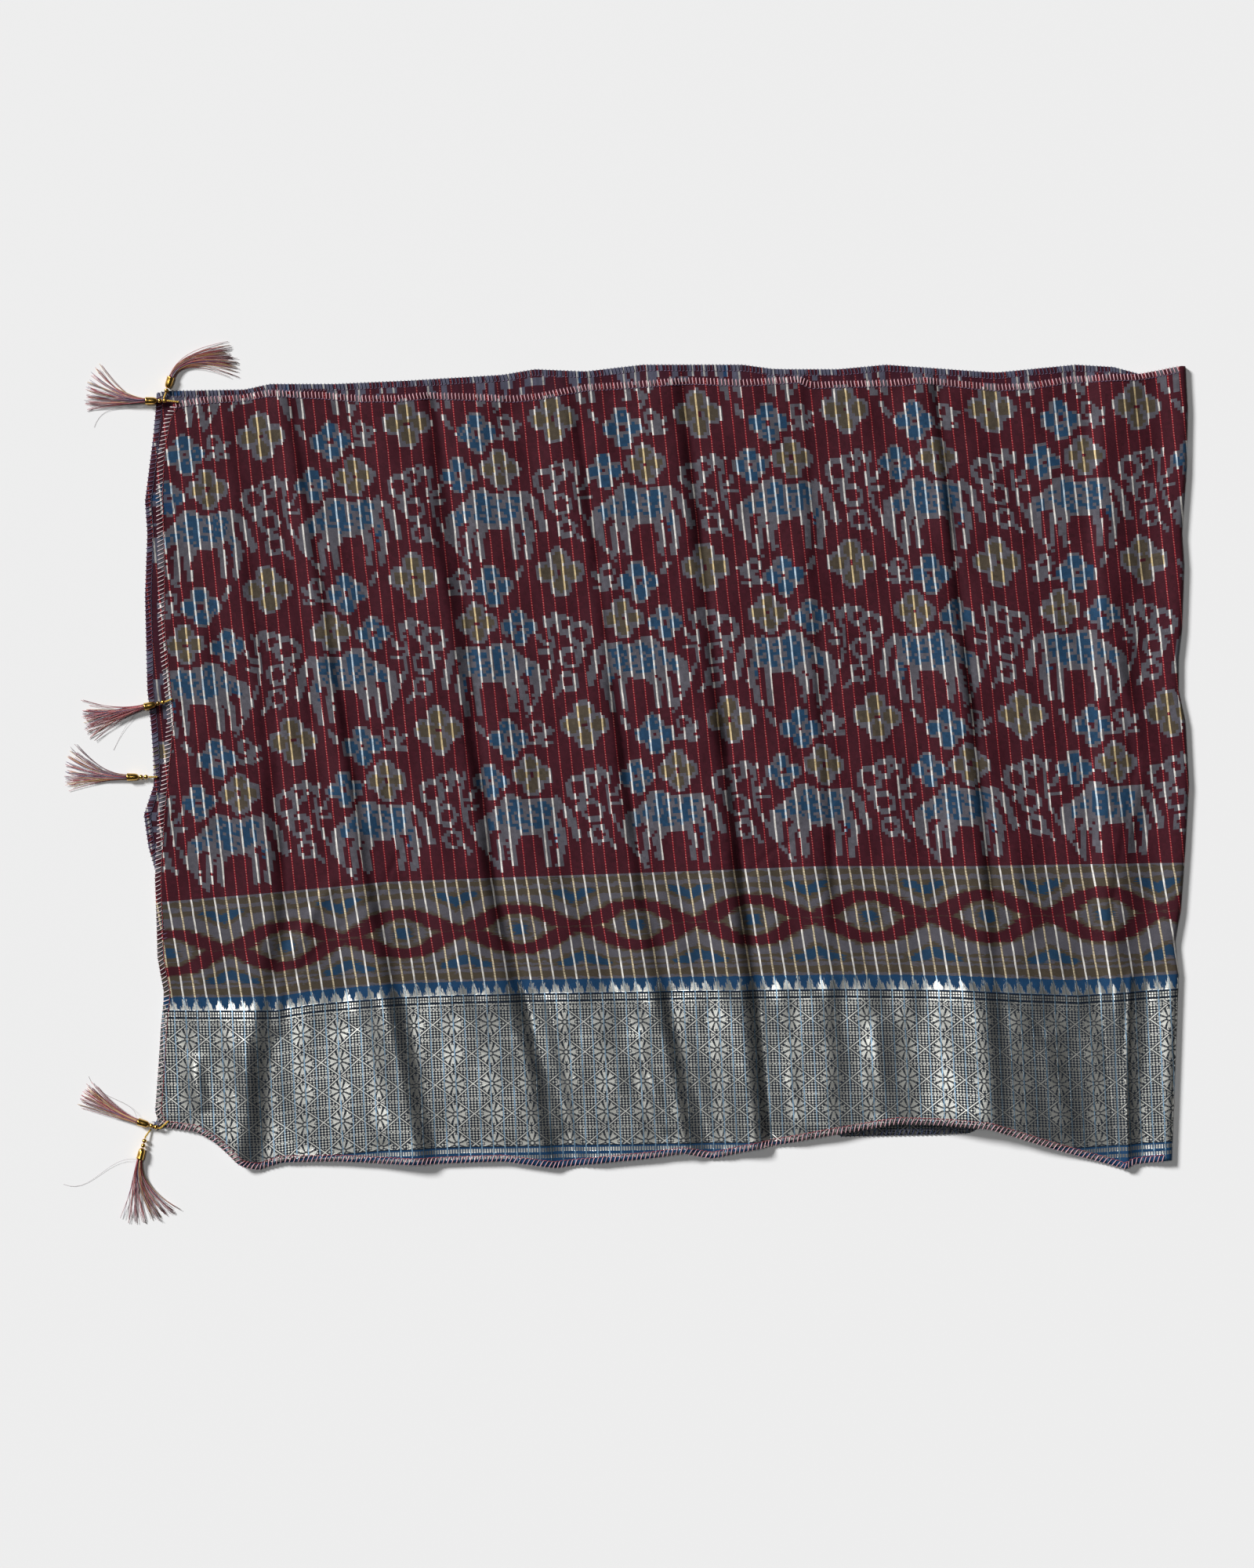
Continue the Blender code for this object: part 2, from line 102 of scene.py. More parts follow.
class Field:
    """A number that varies over a surface. Arithmetic on it adds Math nodes to the tree."""

    def __init__(self, tree, socket):
        self.tree = tree
        self.socket = socket

    def node(self, operation, *others):
        made = self.tree.nodes.new("ShaderNodeMath")
        made.operation = operation
        for slot, value in zip(made.inputs, (self,) + others):
            if isinstance(value, Field):
                self.tree.links.new(value.socket, slot)
            else:
                slot.default_value = value
        return Field(self.tree, made.outputs[0])

    def __add__(self, other):
        return self.node("ADD", other)

    def __sub__(self, other):
        return self.node("SUBTRACT", other)

    def __mul__(self, other):
        return self.node("MULTIPLY", other)

    def __truediv__(self, other):
        return self.node("DIVIDE", other)

    def below(self, limit):
        return self.node("LESS_THAN", limit)

    def above(self, limit):
        return self.node("GREATER_THAN", limit)

    def size(self):
        return self.node("ABSOLUTE")

    def part(self):
        return self.node("FRACT")

    def flipped(self):
        return self.node("MULTIPLY", -1.0) + 1.0

    def either(self, other):
        return self.node("MAXIMUM", other)

    def both(self, other):
        return self.node("MULTIPLY", other)

    def band(self, start, end):
        return self.above(start).both(self.below(end))

    def soft_below(self, limit, soft):
        """One inside the limit and nought outside it, with a soft step between."""
        spread = self.tree.nodes.new("ShaderNodeMapRange")
        spread.interpolation_type = "SMOOTHSTEP"
        self.tree.links.new(self.socket, spread.inputs["Value"])
        spread.inputs["From Min"].default_value = limit - soft
        spread.inputs["From Max"].default_value = limit + soft
        spread.inputs["To Min"].default_value = 1.0
        spread.inputs["To Max"].default_value = 0.0
        return Field(self.tree, spread.outputs["Result"])


print("mid grey as linear light: %.3f" % screen_colour(128, 128, 128)[0])

# %% [markdown]
# Mixing, noise and bump
#
# The rest of a material is mixing colours by such a number, darkening them, and adding noise
# where a real surface is uneven. These helpers add the nodes and join them, so a material
# further down reads as a list of what lies over what.


# %% Mixing, noise and bump
def mixed(tree, amount, first, second):
    """Mix two colour sockets, or plain colours, by a Field or a number."""
    mix = tree.nodes.new("ShaderNodeMix")
    mix.data_type = "RGBA"
    if isinstance(amount, Field):
        tree.links.new(amount.socket, mix.inputs["Factor"])
    else:
        mix.inputs["Factor"].default_value = amount
    for name, value in (("A", first), ("B", second)):
        slot = [s for s in mix.inputs if s.name == name and s.type == "RGBA"][0]
        if isinstance(value, tuple):
            slot.default_value = (*value, 1.0)
        else:
            tree.links.new(value, slot)
    return [s for s in mix.outputs if s.type == "RGBA"][0]


def scaled(tree, colour, factor):
    """Brighten or darken a colour socket by a Field."""
    spread = tree.nodes.new("ShaderNodeVectorMath")
    spread.operation = "SCALE"
    tree.links.new(colour, spread.inputs[0])
    tree.links.new(factor.socket, spread.inputs["Scale"])
    return spread.outputs[0]


def noise(tree, vector, scale, detail=2.0, roughness=0.5):
    """A cloudy number from nought to one that varies with the place."""
    made = tree.nodes.new("ShaderNodeTexNoise")
    made.inputs["Scale"].default_value = scale
    made.inputs["Detail"].default_value = detail
    made.inputs["Roughness"].default_value = roughness
    tree.links.new(vector, made.inputs["Vector"])
    return Field(tree, made.outputs["Fac"])


def new_material(name):
    """A material with its node tree and its main shader."""
    material = bpy.data.materials.new(name)
    material.use_nodes = True
    return material, material.node_tree, material.node_tree.nodes["Principled BSDF"]


def attribute(tree, name):
    """A colour that is stored on the mesh itself."""
    made = tree.nodes.new("ShaderNodeAttribute")
    made.attribute_name = name
    return made.outputs["Color"]


def bump(tree, shader, height, distance, strength=1.0):
    """Tilt the shading by a height that is too fine for faces."""
    made = tree.nodes.new("ShaderNodeBump")
    made.inputs["Strength"].default_value = strength
    made.inputs["Distance"].default_value = distance
    tree.links.new(height.socket, made.inputs["Height"])
    tree.links.new(made.outputs["Normal"], shader.inputs["Normal"])


print("helpers ready:", mixed.__name__, scaled.__name__, noise.__name__, bump.__name__)

# %% [markdown]
# The shape of the folded cloth
#
# The cloth's outline is read as a few bends of each hem, and its folds as lines that run
# across it: a foot, a crest and a hollow, each with its place at the top hem, at the printed
# band and at the bottom hem. A cloth simulation could fold a sheet too, but its creases
# would fall where they like, and these have to lie where the photograph shows them. The same
# rows shape the plain solid, so the fine sheet lies on it. Between two lines the surface
# rises on a cosine, which is how a soft crease turns.

# %% Outline and folds, in millimetres
CLOTH = 1.2
LAYER_GAP = 0.5
UPPER_TOP = CLOTH + LAYER_GAP + CLOTH
HEM_STRIP = 12.0
FOLD_RADIUS = 4.0
FOLD_SHOULDER = 24.0
FOLD_SHOULDER_RISE = 1.0
BAND_Y = -110.0

FRONT_TOP_HEM = [
    # x, y
    (-437, 322), (-409, 326), (-375, 328), (-354, 332), (-304, 330), (-273, 327),
    (-239, 327), (-212, 330), (-139, 327), (-115, 329), (-75, 337), (-19, 340),
    (17, 343), (64, 341), (114, 344), (124, 339), (195, 341), (224, 343),
    (286, 337), (314, 338), (350, 344), (409, 346), (453, 354),
]
FRONT_BOTTOM_HEM = [
    # x, y
    (-448, -315), (-417, -319), (-402, -328), (-388, -340), (-377, -350), (-362, -353),
    (-342, -346), (-292, -345), (-226, -348), (-146, -345), (-102, -351), (-14, -342),
    (12, -338), (37, -343), (67, -336), (141, -322), (200, -312), (242, -313),
    (279, -316), (348, -337), (400, -352), (408, -348), (441, -344),
]
FRONT_LEFT_HEM = [
    # y, x
    (-315, -448), (-302, -453), (-276, -451), (-228, -448), (-198, -445), (-166, -451),
    (-97, -453), (-41, -450), (21, -444), (46, -442), (74, -445), (127, -450),
    (188, -450), (241, -452), (279, -450), (309, -444), (322, -437),
]
FOLD_LINE = [
    # y, x
    (-344, 441), (-262, 444), (-179, 447), (-152, 444), (-124, 449), (-69, 453),
    (-14, 456), (41, 453), (69, 447), (97, 447), (124, 450), (179, 452),
    (207, 450), (262, 454), (317, 455), (354, 453),
]
BACK_TOP_HEM = [
    # x, y
    (-452, 322), (-433, 332), (-375, 333), (-352, 338), (-295, 338), (-230, 341),
    (-148, 346), (-119, 351), (-75, 349), (-24, 355), (64, 355), (92, 351),
    (148, 351), (190, 355), (286, 348), (357, 355), (390, 353), (416, 346),
    (441, 345),
]
BACK_LEFT_HEM = [
    # y, x
    (-317, -457), (-306, -449), (-276, -446), (-228, -443), (-198, -440), (-166, -446),
    (-124, -447), (-97, -451), (-69, -459), (-41, -463), (-14, -454), (14, -455),
    (41, -457), (69, -460), (152, -462), (207, -460), (235, -462), (290, -455),
    (322, -452),
]
BACK_BOTTOM_HEM = [
    # x, y
    (-457, -317), (-440, -316), (-417, -314), (-402, -323), (-388, -335), (-362, -347),
    (-342, -341), (-226, -343), (-102, -346), (12, -333), (67, -331), (141, -317),
    (150, -324), (237, -322), (264, -321), (279, -312), (348, -332), (400, -347),
    (441, -339),
]
FOLD_ROWS = [
    # name, x at the top hem, x at the band, x at the bottom hem, rise at each of the three
    ("left_swell", -409, -404, -412, 0.8, 2.0, 2.6),
    ("first_crest", -394, -351, -382, 1.0, 5.0, 5.6),
    ("first_hollow", -382, -336, -358, 0.4, 0.3, 0.2),
    ("first_shoulder", -368, -314, -331, 0.8, 2.2, 2.6),
    ("second_rise", -356, -294, -268, 0.8, 1.4, 4.4),
    ("second_crest", -343, -269, -222, 3.0, 6.4, 9.0),
    ("second_foot", -330, -255, -202, 0.4, 0.6, 3.0),
    ("third_crest", -222, -165, -110, 4.2, 7.0, 4.6),
    ("third_hollow", -208, -151, -84, 0.2, 0.2, 0.2),
    ("third_shoulder", -184, -124, -60, 2.6, 3.0, 4.0),
    ("third_plateau", -140, -80, -8, 1.4, 1.6, 4.6),
    ("fourth_crest", -96, -34, 16, 3.4, 5.0, 6.4),
    ("fourth_hollow", -83, -21, 36, 0.4, 0.4, 0.4),
    ("fifth_rise", -58, 2, 52, 1.6, 2.0, 3.6),
    ("fifth_crest", -2, 53, 76, 5.0, 7.6, 8.0),
    ("fifth_foot", 12, 67, 92, 0.4, 0.6, 0.8),
    ("fifth_shoulder", 38, 90, 116, 1.8, 2.0, 4.4),
    ("sixth_crest", 111, 134, 142, 3.2, 4.4, 6.0),
    ("sixth_foot", 123, 146, 160, 1.0, 1.0, 5.4),
    ("seventh_rise", 188, 222, 210, 1.2, 1.6, 6.0),
    ("seventh_crest", 223, 272, 282, 5.0, 8.4, 14.0),
    ("seventh_foot", 237, 287, 300, 0.6, 2.8, 11.0),
    ("seventh_hollow", 304, 336, 386, 0.8, 0.6, 0.4),
    ("eighth_foot", 364, 368, 394, 0.6, 0.4, 0.4),
    ("eighth_crest", 380, 383, 402, 6.2, 7.2, 4.0),
]
print("fold lines:", len(FOLD_ROWS))

# %% [markdown]
# From tables to lines
#
# A sheet of cloth can be built as a row of lines that run across it, each with a place and a
# rise at every depth. The tables are read by straight steps between their bends, which is
# enough here, since the sheet's own points are closer together than the bends.


# %% Reading the tables
def along(table, place):
    """Read the second column of a table where its first column is at place."""
    firsts, seconds = zip(*table)
    return np.interp(place, firsts, seconds)


def ease(part):
    """Go from nought to one on a cosine, level at both ends."""
    return 0.5 - 0.5 * np.cos(np.pi * part)


def stations():
    """Each line across the cloth: x at the bottom hem and the top, and functions of y."""
    lines = []
    left_corner = (FRONT_BOTTOM_HEM[0][0], FRONT_TOP_HEM[0][0])
    right_corner = (FRONT_BOTTOM_HEM[-1][0], FRONT_TOP_HEM[-1][0])
    for inside in (0.0, HEM_STRIP):
        ends = (left_corner[0] + inside, left_corner[1] + inside)
        lines.append((ends, lambda y, s=inside: along(FRONT_LEFT_HEM, y) + s, (0, 0, 0)))
    for row in FOLD_ROWS:
        top_x, band_x, hem_x = row[1:4]
        path = [(along(FRONT_BOTTOM_HEM, hem_x), hem_x), (BAND_Y, band_x),
                (along(FRONT_TOP_HEM, top_x), top_x)]
        rises = (row[6], row[5], row[4])
        lines.append(((hem_x, top_x), lambda y, p=path: along(p, y), rises))
    crest_rise = 2 * FOLD_RADIUS - UPPER_TOP
    for back, rise in ((FOLD_SHOULDER, FOLD_SHOULDER_RISE), (0.0, crest_rise)):
        inset = back + FOLD_RADIUS
        ends = (right_corner[0] - inset, right_corner[1] - inset)
        lines.append((ends, lambda y, i=inset: along(FOLD_LINE, y) - i, (rise,) * 3))
    return lines


LINES = stations()
print("stations across the cloth:", len(LINES))

# %% [markdown]
# Small wrinkles
#
# Silk that has been folded away keeps soft dents. A noise would make them all alike, so they
# are listed one by one, each with its own ends, width and depth. A slow swell of the whole
# surface keeps the hollows from looking pressed.

# %% Wrinkles placed one by one
WRINKLES = [
    # x and y of one end, x and y of the other, width, height
    (-293, -95, -337, -175, 5.0, 2.2),
    (-337, -175, -345, -235, 6.0, 2.0),
    (-250, 20, -262, -60, 7.0, 1.7),
    (-335, 120, -318, 40, 6.0, 2.0),
    (-322, 210, -300, 130, 8.0, 1.2),
    (-205, 240, -190, 150, 5.0, -1.7),
    (-176, 60, -160, -30, 6.0, -1.5),
    (-60, 180, -45, 70, 8.0, 2.0),
    (-50, 60, -40, 10, 6.0, 1.2),
    (20, 200, 36, 90, 7.0, -1.7),
    (52, 10, 62, -70, 6.0, 1.7),
    (110, 190, 128, 60, 9.0, 2.0),
    (140, 40, 143, -60, 8.0, 1.7),
    (238, 290, 246, 190, 7.0, 2.1),
    (256, 120, 268, 20, 6.0, 2.2),
    (262, 100, 292, 60, 7.0, 1.5),
    (390, 117, 416, 12, 8.0, 2.2),
    (416, 12, 392, -110, 8.0, 2.0),
    (418, 60, 440, 10, 9.0, 2.1),
    (330, 200, 350, 110, 9.0, 1.5),
    (-420, 10, -402, -80, 9.0, 1.5),
    (-412, 160, -404, 60, 8.0, 1.2),
    (300, -60, 318, -150, 8.0, 2.0),
    (-130, -230, -96, -320, 8.0, 2.0),
    (-30, -230, 0, -320, 7.0, 1.7),
    (180, -220, 190, -300, 9.0, 1.7),
    (330, -230, 352, -320, 9.0, 2.0),
    (-372, -235, -364, -330, 6.0, 1.7),
    (-280, -230, -250, -330, 8.0, 1.7),
    (-420, -250, -408, -300, 7.0, 1.7),
]
CREASES = [
    # width, height, then x and y of each bend of the line
    (3.6, -2.0, (-208, 330), (-184, 180), (-165, 20), (-151, -110), (-128, -200), (-98, -350)),
    (3.4, -1.8, (13, 340), (32, 170), (48, 40), (66, -110), (78, -200), (90, -345)),
    (3.2, -1.5, (236, 335), (256, 150), (268, 50), (284, -110)),
    (2.6, -1.2, (-80, 300), (-62, 180), (-48, 60), (-22, -110)),
    (2.4, -0.9, (-331, 310), (-306, 170), (-262, -110)),
    (2.6, -1.2, (-350, 120), (-345, 0), (-338, -110), (-338, -210)),
    (2.4, -0.9, (126, 110), (138, 10), (146, -110)),
    (3.0, -1.5, (378, 120), (402, 40), (409, 0), (396, -70), (386, -140)),
    (2.2, 1.4, (404, -180), (401, -260), (402, -345)),
    (2.2, -1.0, (-230, -60), (-256, -110), (-300, -150), (-338, -190)),
    (2.4, -1.0, (48, -68), (62, -84), (66, -96), (88, -74), (112, -62)),
    (3.0, -1.4, (-3, -200), (12, -280), (22, -340)),
    (2.8, 1.2, (-108, -205), (-92, -270), (-74, -345)),
    (2.4, -1.0, (300, -205), (318, -216), (330, -240), (352, -252)),
]
WRINKLE_BOW = 3.0
STIFF_BORDER = (-230, -170)
BORDER_CALM = 0.35
SWELLS = [
    # length along x, length along y, lean, height
    (83.0, 240.0, 0.3, 0.80),
    (47.0, 130.0, 1.9, 0.52),
    (131.0, 96.0, 4.1, 0.80),
    (29.0, 61.0, 2.6, 0.22),
    (37.0, -74.0, 5.1, 0.26),
]
print("wrinkles:", len(WRINKLES), "creases:", len(CREASES), "swells:", len(SWELLS))

# %% [markdown]
# How a wrinkle is shaped
#
# A dent in silk has no edges, so each one is a smooth bell across its line and fades out at
# both ends. A sharper crease follows a bent line at full height. Sine waves with odd lengths
# make the slow swell, and they are calmer in the border, which its metal makes stiff.


# %% Height of the wrinkles
def stroke_distance(x, y, x0, y0, x1, y1):
    """How far points lie from a straight stroke."""
    run_x, run_y = x1 - x0, y1 - y0
    share = ((x - x0) * run_x + (y - y0) * run_y) / (run_x ** 2 + run_y ** 2 + 1e-9)
    share = np.clip(share, 0, 1)
    return np.hypot(x - x0 - share * run_x, y - y0 - share * run_y)


def wrinkle_height(x, y):
    """The sum of the small wrinkles at points in millimetres."""
    height = np.zeros_like(x)
    for x0, y0, x1, y1, width, tall in WRINKLES:
        run_x, run_y = x1 - x0, y1 - y0
        length = math.hypot(run_x, run_y)
        share = ((x - x0) * run_x + (y - y0) * run_y) / length ** 2
        bow = WRINKLE_BOW * np.sin(np.pi * np.clip(share, 0, 1))
        aside = ((x - x0) * run_y - (y - y0) * run_x) / length - bow
        fade = np.clip(share, 0, 1) * np.clip(1 - share, 0, 1) * 4
        height += tall * np.sqrt(fade) * np.exp(-(aside / width) ** 2)
    for width, tall, *bends in CREASES:
        near = np.full_like(x, np.inf)
        for (x0, y0), (x1, y1) in zip(bends, bends[1:]):
            near = np.minimum(near, stroke_distance(x, y, x0, y0, x1, y1))
        height += tall * np.exp(-(near / width) ** 2)
    calm = np.interp(y, STIFF_BORDER, (BORDER_CALM, 1.0))
    for along_x, along_y, lean, tall in SWELLS:
        height += calm * tall * np.sin(2 * np.pi * (x / along_x + y / along_y) + lean)
    return height


print("height in the third hollow: %.1f mm" % wrinkle_height(np.array([-165.0]), np.array([20.0]))[0])

# %% [markdown]
# The upper half's surface
#
# The sheet has one face for each step of the print, about 2.7 mm. Its columns run between
# the lines of the table and turn down round the fold on an arc. A regular grid of points is
# kept as one array, so heights, colours and hems can all be worked out on it at once.

# %% The fine grid
COLUMNS = 344
ROWS = 256
ROW_WIDTH = 2.7
TURN_END = -70.0
TURN_SHARE = 2.4
WRINKLE_LIMITS = (-2.2, 4.0)
FOLD_FADE = 25.0
HEM_FADE = 12.0
HEM_WRINKLES = 0.25


def column_places():
    """Spread the columns evenly along the cloth, and closer round the fold."""
    middle = np.array([float(line[1](0.0)) for line in LINES])
    turn = math.radians(90 - TURN_END) * FOLD_RADIUS * TURN_SHARE
    reach = np.append(middle, middle[-1] + turn)
    return np.interp(np.linspace(reach[0], reach[-1], COLUMNS + 1), reach, np.arange(len(reach)))


def upper_surface():
    """Points of the upper half's top face, as an array of columns by rows by x, y, z."""
    surface = np.zeros((COLUMNS + 1, ROWS + 1, 3))
    share = np.linspace(0.0, 1.0, ROWS + 1)
    crest = len(LINES) - 1
    for column, place in enumerate(column_places()):
        index = min(int(place), crest - 1)
        part = min(place - index, 1.0)
        ends_a, path_a, rises_a = LINES[index]
        ends_b, path_b, rises_b = LINES[index + 1]
        hem_x = ends_a[0] + part * (ends_b[0] - ends_a[0])
        top_x = ends_a[1] + part * (ends_b[1] - ends_a[1])
        hem_y = along(FRONT_BOTTOM_HEM, hem_x)
        top_y = along(FRONT_TOP_HEM, top_x)
        y = hem_y + share * (top_y - hem_y)
        level_y = np.clip(y, hem_y + HEM_STRIP, top_y - HEM_STRIP)
        x = path_a(y) + part * (path_b(y) - path_a(y))
        heights = []
        for rises in (rises_a, rises_b):
            heights.append(np.interp(level_y, (hem_y, BAND_Y, top_y), rises))
        z = UPPER_TOP + heights[0] + ease(part) * (heights[1] - heights[0])
        if place > crest:
            turn = math.radians(90 + (place - crest) * (TURN_END - 90))
            x = along(FOLD_LINE, y) - FOLD_RADIUS + FOLD_RADIUS * math.cos(turn)
            z = np.full_like(y, FOLD_RADIUS + FOLD_RADIUS * math.sin(turn))
        surface[column, :, 0] = x
        surface[column, :, 1] = y
        surface[column, :, 2] = z
    return surface


def lie_of_wrinkles(surface):
    """Wrinkles fade out at the fold's turn and towards the hems."""
    x, y = surface[..., 0], surface[..., 1]
    lift = wrinkle_height(x, y)
    from_fold = along(FOLD_LINE, y) - FOLD_RADIUS - x
    fade = np.clip(from_fold / FOLD_FADE, 0, 1)
    rows = np.arange(ROWS + 1) * ROW_WIDTH
    hem_fade = np.clip(np.minimum(rows, rows[::-1]) / HEM_FADE, HEM_WRINKLES, 1)
    return np.clip(lift, *WRINKLE_LIMITS) * fade * hem_fade[None, :]


UPPER = upper_surface()
UPPER[..., 2] += lie_of_wrinkles(UPPER)
print("upper sheet %d by %d points" % UPPER.shape[:2])

# %% [markdown]
# The lower half's surface
#
# The lower half lies right under the upper one, so its surface is the upper one's, moved down
# by a wall and a small gap. It has hems of its own, which come down level on the table, so
# its outermost rows and columns are eased from those hems to the shape inside.

# %% The lower half
EASED_ROWS = 5
LOWEST_FACE = 0.9


def lower_surface(upper):
    """The lower half's top face: under the upper one, with hems of its own."""
    surface = upper.copy()
    surface[..., 2] -= CLOTH + LAYER_GAP
    radius = FOLD_RADIUS - CLOTH - LAYER_GAP
    crest_x = along(FOLD_LINE, upper[..., 1]) - FOLD_RADIUS
    past = upper[..., 0] > crest_x
    ahead = np.clip((upper[..., 0] - crest_x) / FOLD_RADIUS, 0, 1)
    surface[..., 0] = np.where(past, crest_x + ahead * radius, surface[..., 0])
    nose = FOLD_RADIUS + (upper[..., 2] - FOLD_RADIUS) * radius / FOLD_RADIUS
    surface[..., 2] = np.where(past, nose, surface[..., 2])
    strip = EASED_ROWS
    for row, inner, hem in ((0, strip, BACK_BOTTOM_HEM), (ROWS, ROWS - strip, BACK_TOP_HEM)):
        step = 1 if row == 0 else -1
        outer_y = along(hem, surface[:, row, 0])
        for number in range(strip):
            part = number / strip
            here = row + step * number
            surface[:, here, 1] = outer_y + part * (surface[:, inner, 1] - outer_y)
            level = CLOTH + part * (surface[:, inner, 2] - CLOTH)
            surface[:, here, 2] = np.minimum(surface[:, here, 2], level)
    outer_x = along(BACK_LEFT_HEM, surface[0, :, 1])
    for number in range(strip):
        part = number / strip
        surface[number, :, 0] = outer_x + part * (surface[strip, :, 0] - outer_x)
        surface[number, :, 2] = CLOTH + part * (surface[strip, :, 2] - CLOTH)
    surface[..., 2] = np.maximum(surface[..., 2], LOWEST_FACE)
    return surface


LOWER = lower_surface(UPPER)
print("lower sheet %d by %d points" % LOWER.shape[:2])

# %% [markdown]
# Cloth coordinates
#
# A print belongs to the cloth and not to the table, so each point also gets its place on the
# flat panel: how far along the panel it lies, counted by the metallic yarns, and how far
# across it, counted from the line where the printed band starts. The yarns lean a little on
# the table, most in the printed band and least in the woven border.

# %% Cloth coordinates, in millimetres
BAND_START = [
    # x, y of the line where the band begins
    (-452, -118), (-440, -117), (-346, -109), (-251, -100), (-176, -97), (0, -91),
    (128, -86), (255, -86), (445, -83), (460, -83),
]
BORDER_START = [
    # x, y of the line where the woven border begins
    (-460, -213), (-346, -213), (-317, -208), (-251, -202), (-175, -199), (0, -196),
    (149, -194), (255, -195), (307, -198), (360, -200), (402, -197), (440, -194), (460, -193),
]
LEAN_BODY = 0.105
LEAN_BAND = 0.16
LEAN_BORDER = 0.045
BAND_DEPTH = 106.0


def cloth_place(x, y):
    """Along the panel and across it, for points on the table."""
    band_y = along(BAND_START, x)
    border_y = along(BORDER_START, x)
    depth = band_y - border_y
    above = np.maximum(y - band_y, 0.0)
    inside = np.clip(band_y - y, 0.0, depth)
    below = np.maximum(border_y - y, 0.0)
    lengthwise = x + LEAN_BODY * above - LEAN_BAND * inside - LEAN_BORDER * below
    across = above - inside / depth * BAND_DEPTH - below
    return lengthwise, across


UPPER_CLOTH = np.stack(cloth_place(UPPER[..., 0], UPPER[..., 1]), axis=-1)
LOWER_CLOTH = np.stack(cloth_place(LOWER[..., 0], LOWER[..., 1]), axis=-1)
print("panel coordinates run from %.0f to %.0f mm" % (
    UPPER_CLOTH[..., 1].min(), UPPER_CLOTH[..., 1].max()))

# %% [markdown]
# The print
#
# The print looks like a dyed weave: every edge runs in steps of about 2.7 mm. It could be a
# painted picture laid over the cloth, but the faces of the sheet have just that size, so
# each face takes one colour and the steps come by themselves, sharp at any distance.
# The motifs are drawn on a repeat of 48 by 50.5 steps: a grazing animal, four-petalled
# flowers and a sprig with ring blossoms. A motif is a short list of brush marks: an oval, a
# patch, which is an oval with irregular gaps, a ring or a stroke.

# %% Motifs of the print
STEP = 128.3 / 48
REPEAT_STEPS = 48
ROW_STEPS = 50.5
GROUND, GREY, BLUE, BROWN = range(4)

ANIMAL = [
    # brush, colour, then x, y and two radii for an oval, or two ends and a width for a stroke
    ("oval", GREY, 1.5, 1.8, 11.0, 6.0),
    ("oval", GREY, -1.5, 5.8, 4.4, 3.8),
    ("oval", GREY, 8.4, 4.4, 4.8, 3.8),
    ("stroke", GREY, -5.0, 3.4, -11.4, -0.6, 2.7),
    ("stroke", GREY, -11.8, -0.6, -12.4, -6.0, 2.1),
    ("stroke", GREY, -12.6, -7.2, -10.8, -8.6, 0.9),
    ("stroke", GREY, -4.0, -1.5, -7.0, -6.0, 1.4),
    ("stroke", GREY, -7.0, -6.0, -7.6, -13.0, 1.05),
    ("stroke", GREY, -0.8, -2.5, -3.6, -7.0, 1.5),
    ("stroke", GREY, -3.6, -7.0, -3.2, -13.0, 1.15),
    ("stroke", GREY, 7.2, -2.0, 8.4, -7.0, 1.3),
    ("stroke", GREY, 8.4, -7.0, 8.0, -13.4, 1.05),
    ("stroke", GREY, 11.4, 1.0, 13.6, -5.6, 1.7),
    ("stroke", GREY, 13.6, -5.6, 11.8, -13.4, 1.2),
    ("stroke", GREY, 12.4, 7.4, 15.6, 4.4, 1.2),
    ("stroke", GREY, 15.6, 4.4, 18.4, -4.6, 1.35),
    ("patch", BLUE, 1.5, 2.0, 9.4, 4.4),
    ("patch", BLUE, -1.5, 5.6, 2.8, 2.6),
    ("patch", BLUE, 8.4, 4.0, 3.0, 3.2),
    ("patch", BLUE, 11.4, -2.6, 1.2, 4.0),
    ("patch", BLUE, -10.0, 0.0, 1.8, 2.2),
]
SPRIG = [
    ("stroke", GREY, -16.4, 17.0, -18.4, 9.0, 0.6),
    ("stroke", GREY, -18.4, 9.0, -17.2, 1.0, 0.6),
    ("stroke", GREY, -17.2, 1.0, -13.2, -7.0, 0.6),
    ("stroke", GREY, -13.2, -7.0, -7.6, -15.6, 0.6),
    ("stroke", GREY, -20.4, 17.6, -17.8, 14.6, 1.1),
    ("stroke", GREY, -18.0, 8.0, -15.2, 8.8, 0.7),
    ("stroke", GREY, -15.2, 8.8, -14.0, 11.4, 0.7),
    ("stroke", GREY, -16.6, 5.6, -13.6, 5.8, 0.7),
    ("ring", GREY, -27.6, 11.2, 3.4, 0.95),
    ("ring", GREY, -23.2, 14.2, 2.5, 0.75),
    ("ring", GREY, -23.6, 3.4, 3.0, 0.8),
    ("ring", GREY, -22.4, -4.4, 2.6, 0.8),
    ("stroke", GREY, -26.6, 6.8, -28.4, 4.4, 0.8),
    ("stroke", GREY, -19.8, -5.8, -17.2, -9.0, 0.7),
]
PAIR = [
    # colour, x, y, radius of a petal, petal's distance from the middle, filling of the corners
    (BLUE, -8.0, 14.0, 2.35, 3.3, 0.0),
    (BROWN, 5.7, 15.8, 2.9, 3.6, 2.4),
]
BETWEEN_ROWS = [
    (BROWN, -26.2, -18.8, 3.35, 4.4, 2.9),
    (BLUE, -0.7, -22.7, 2.7, 3.8, 0.0),
]
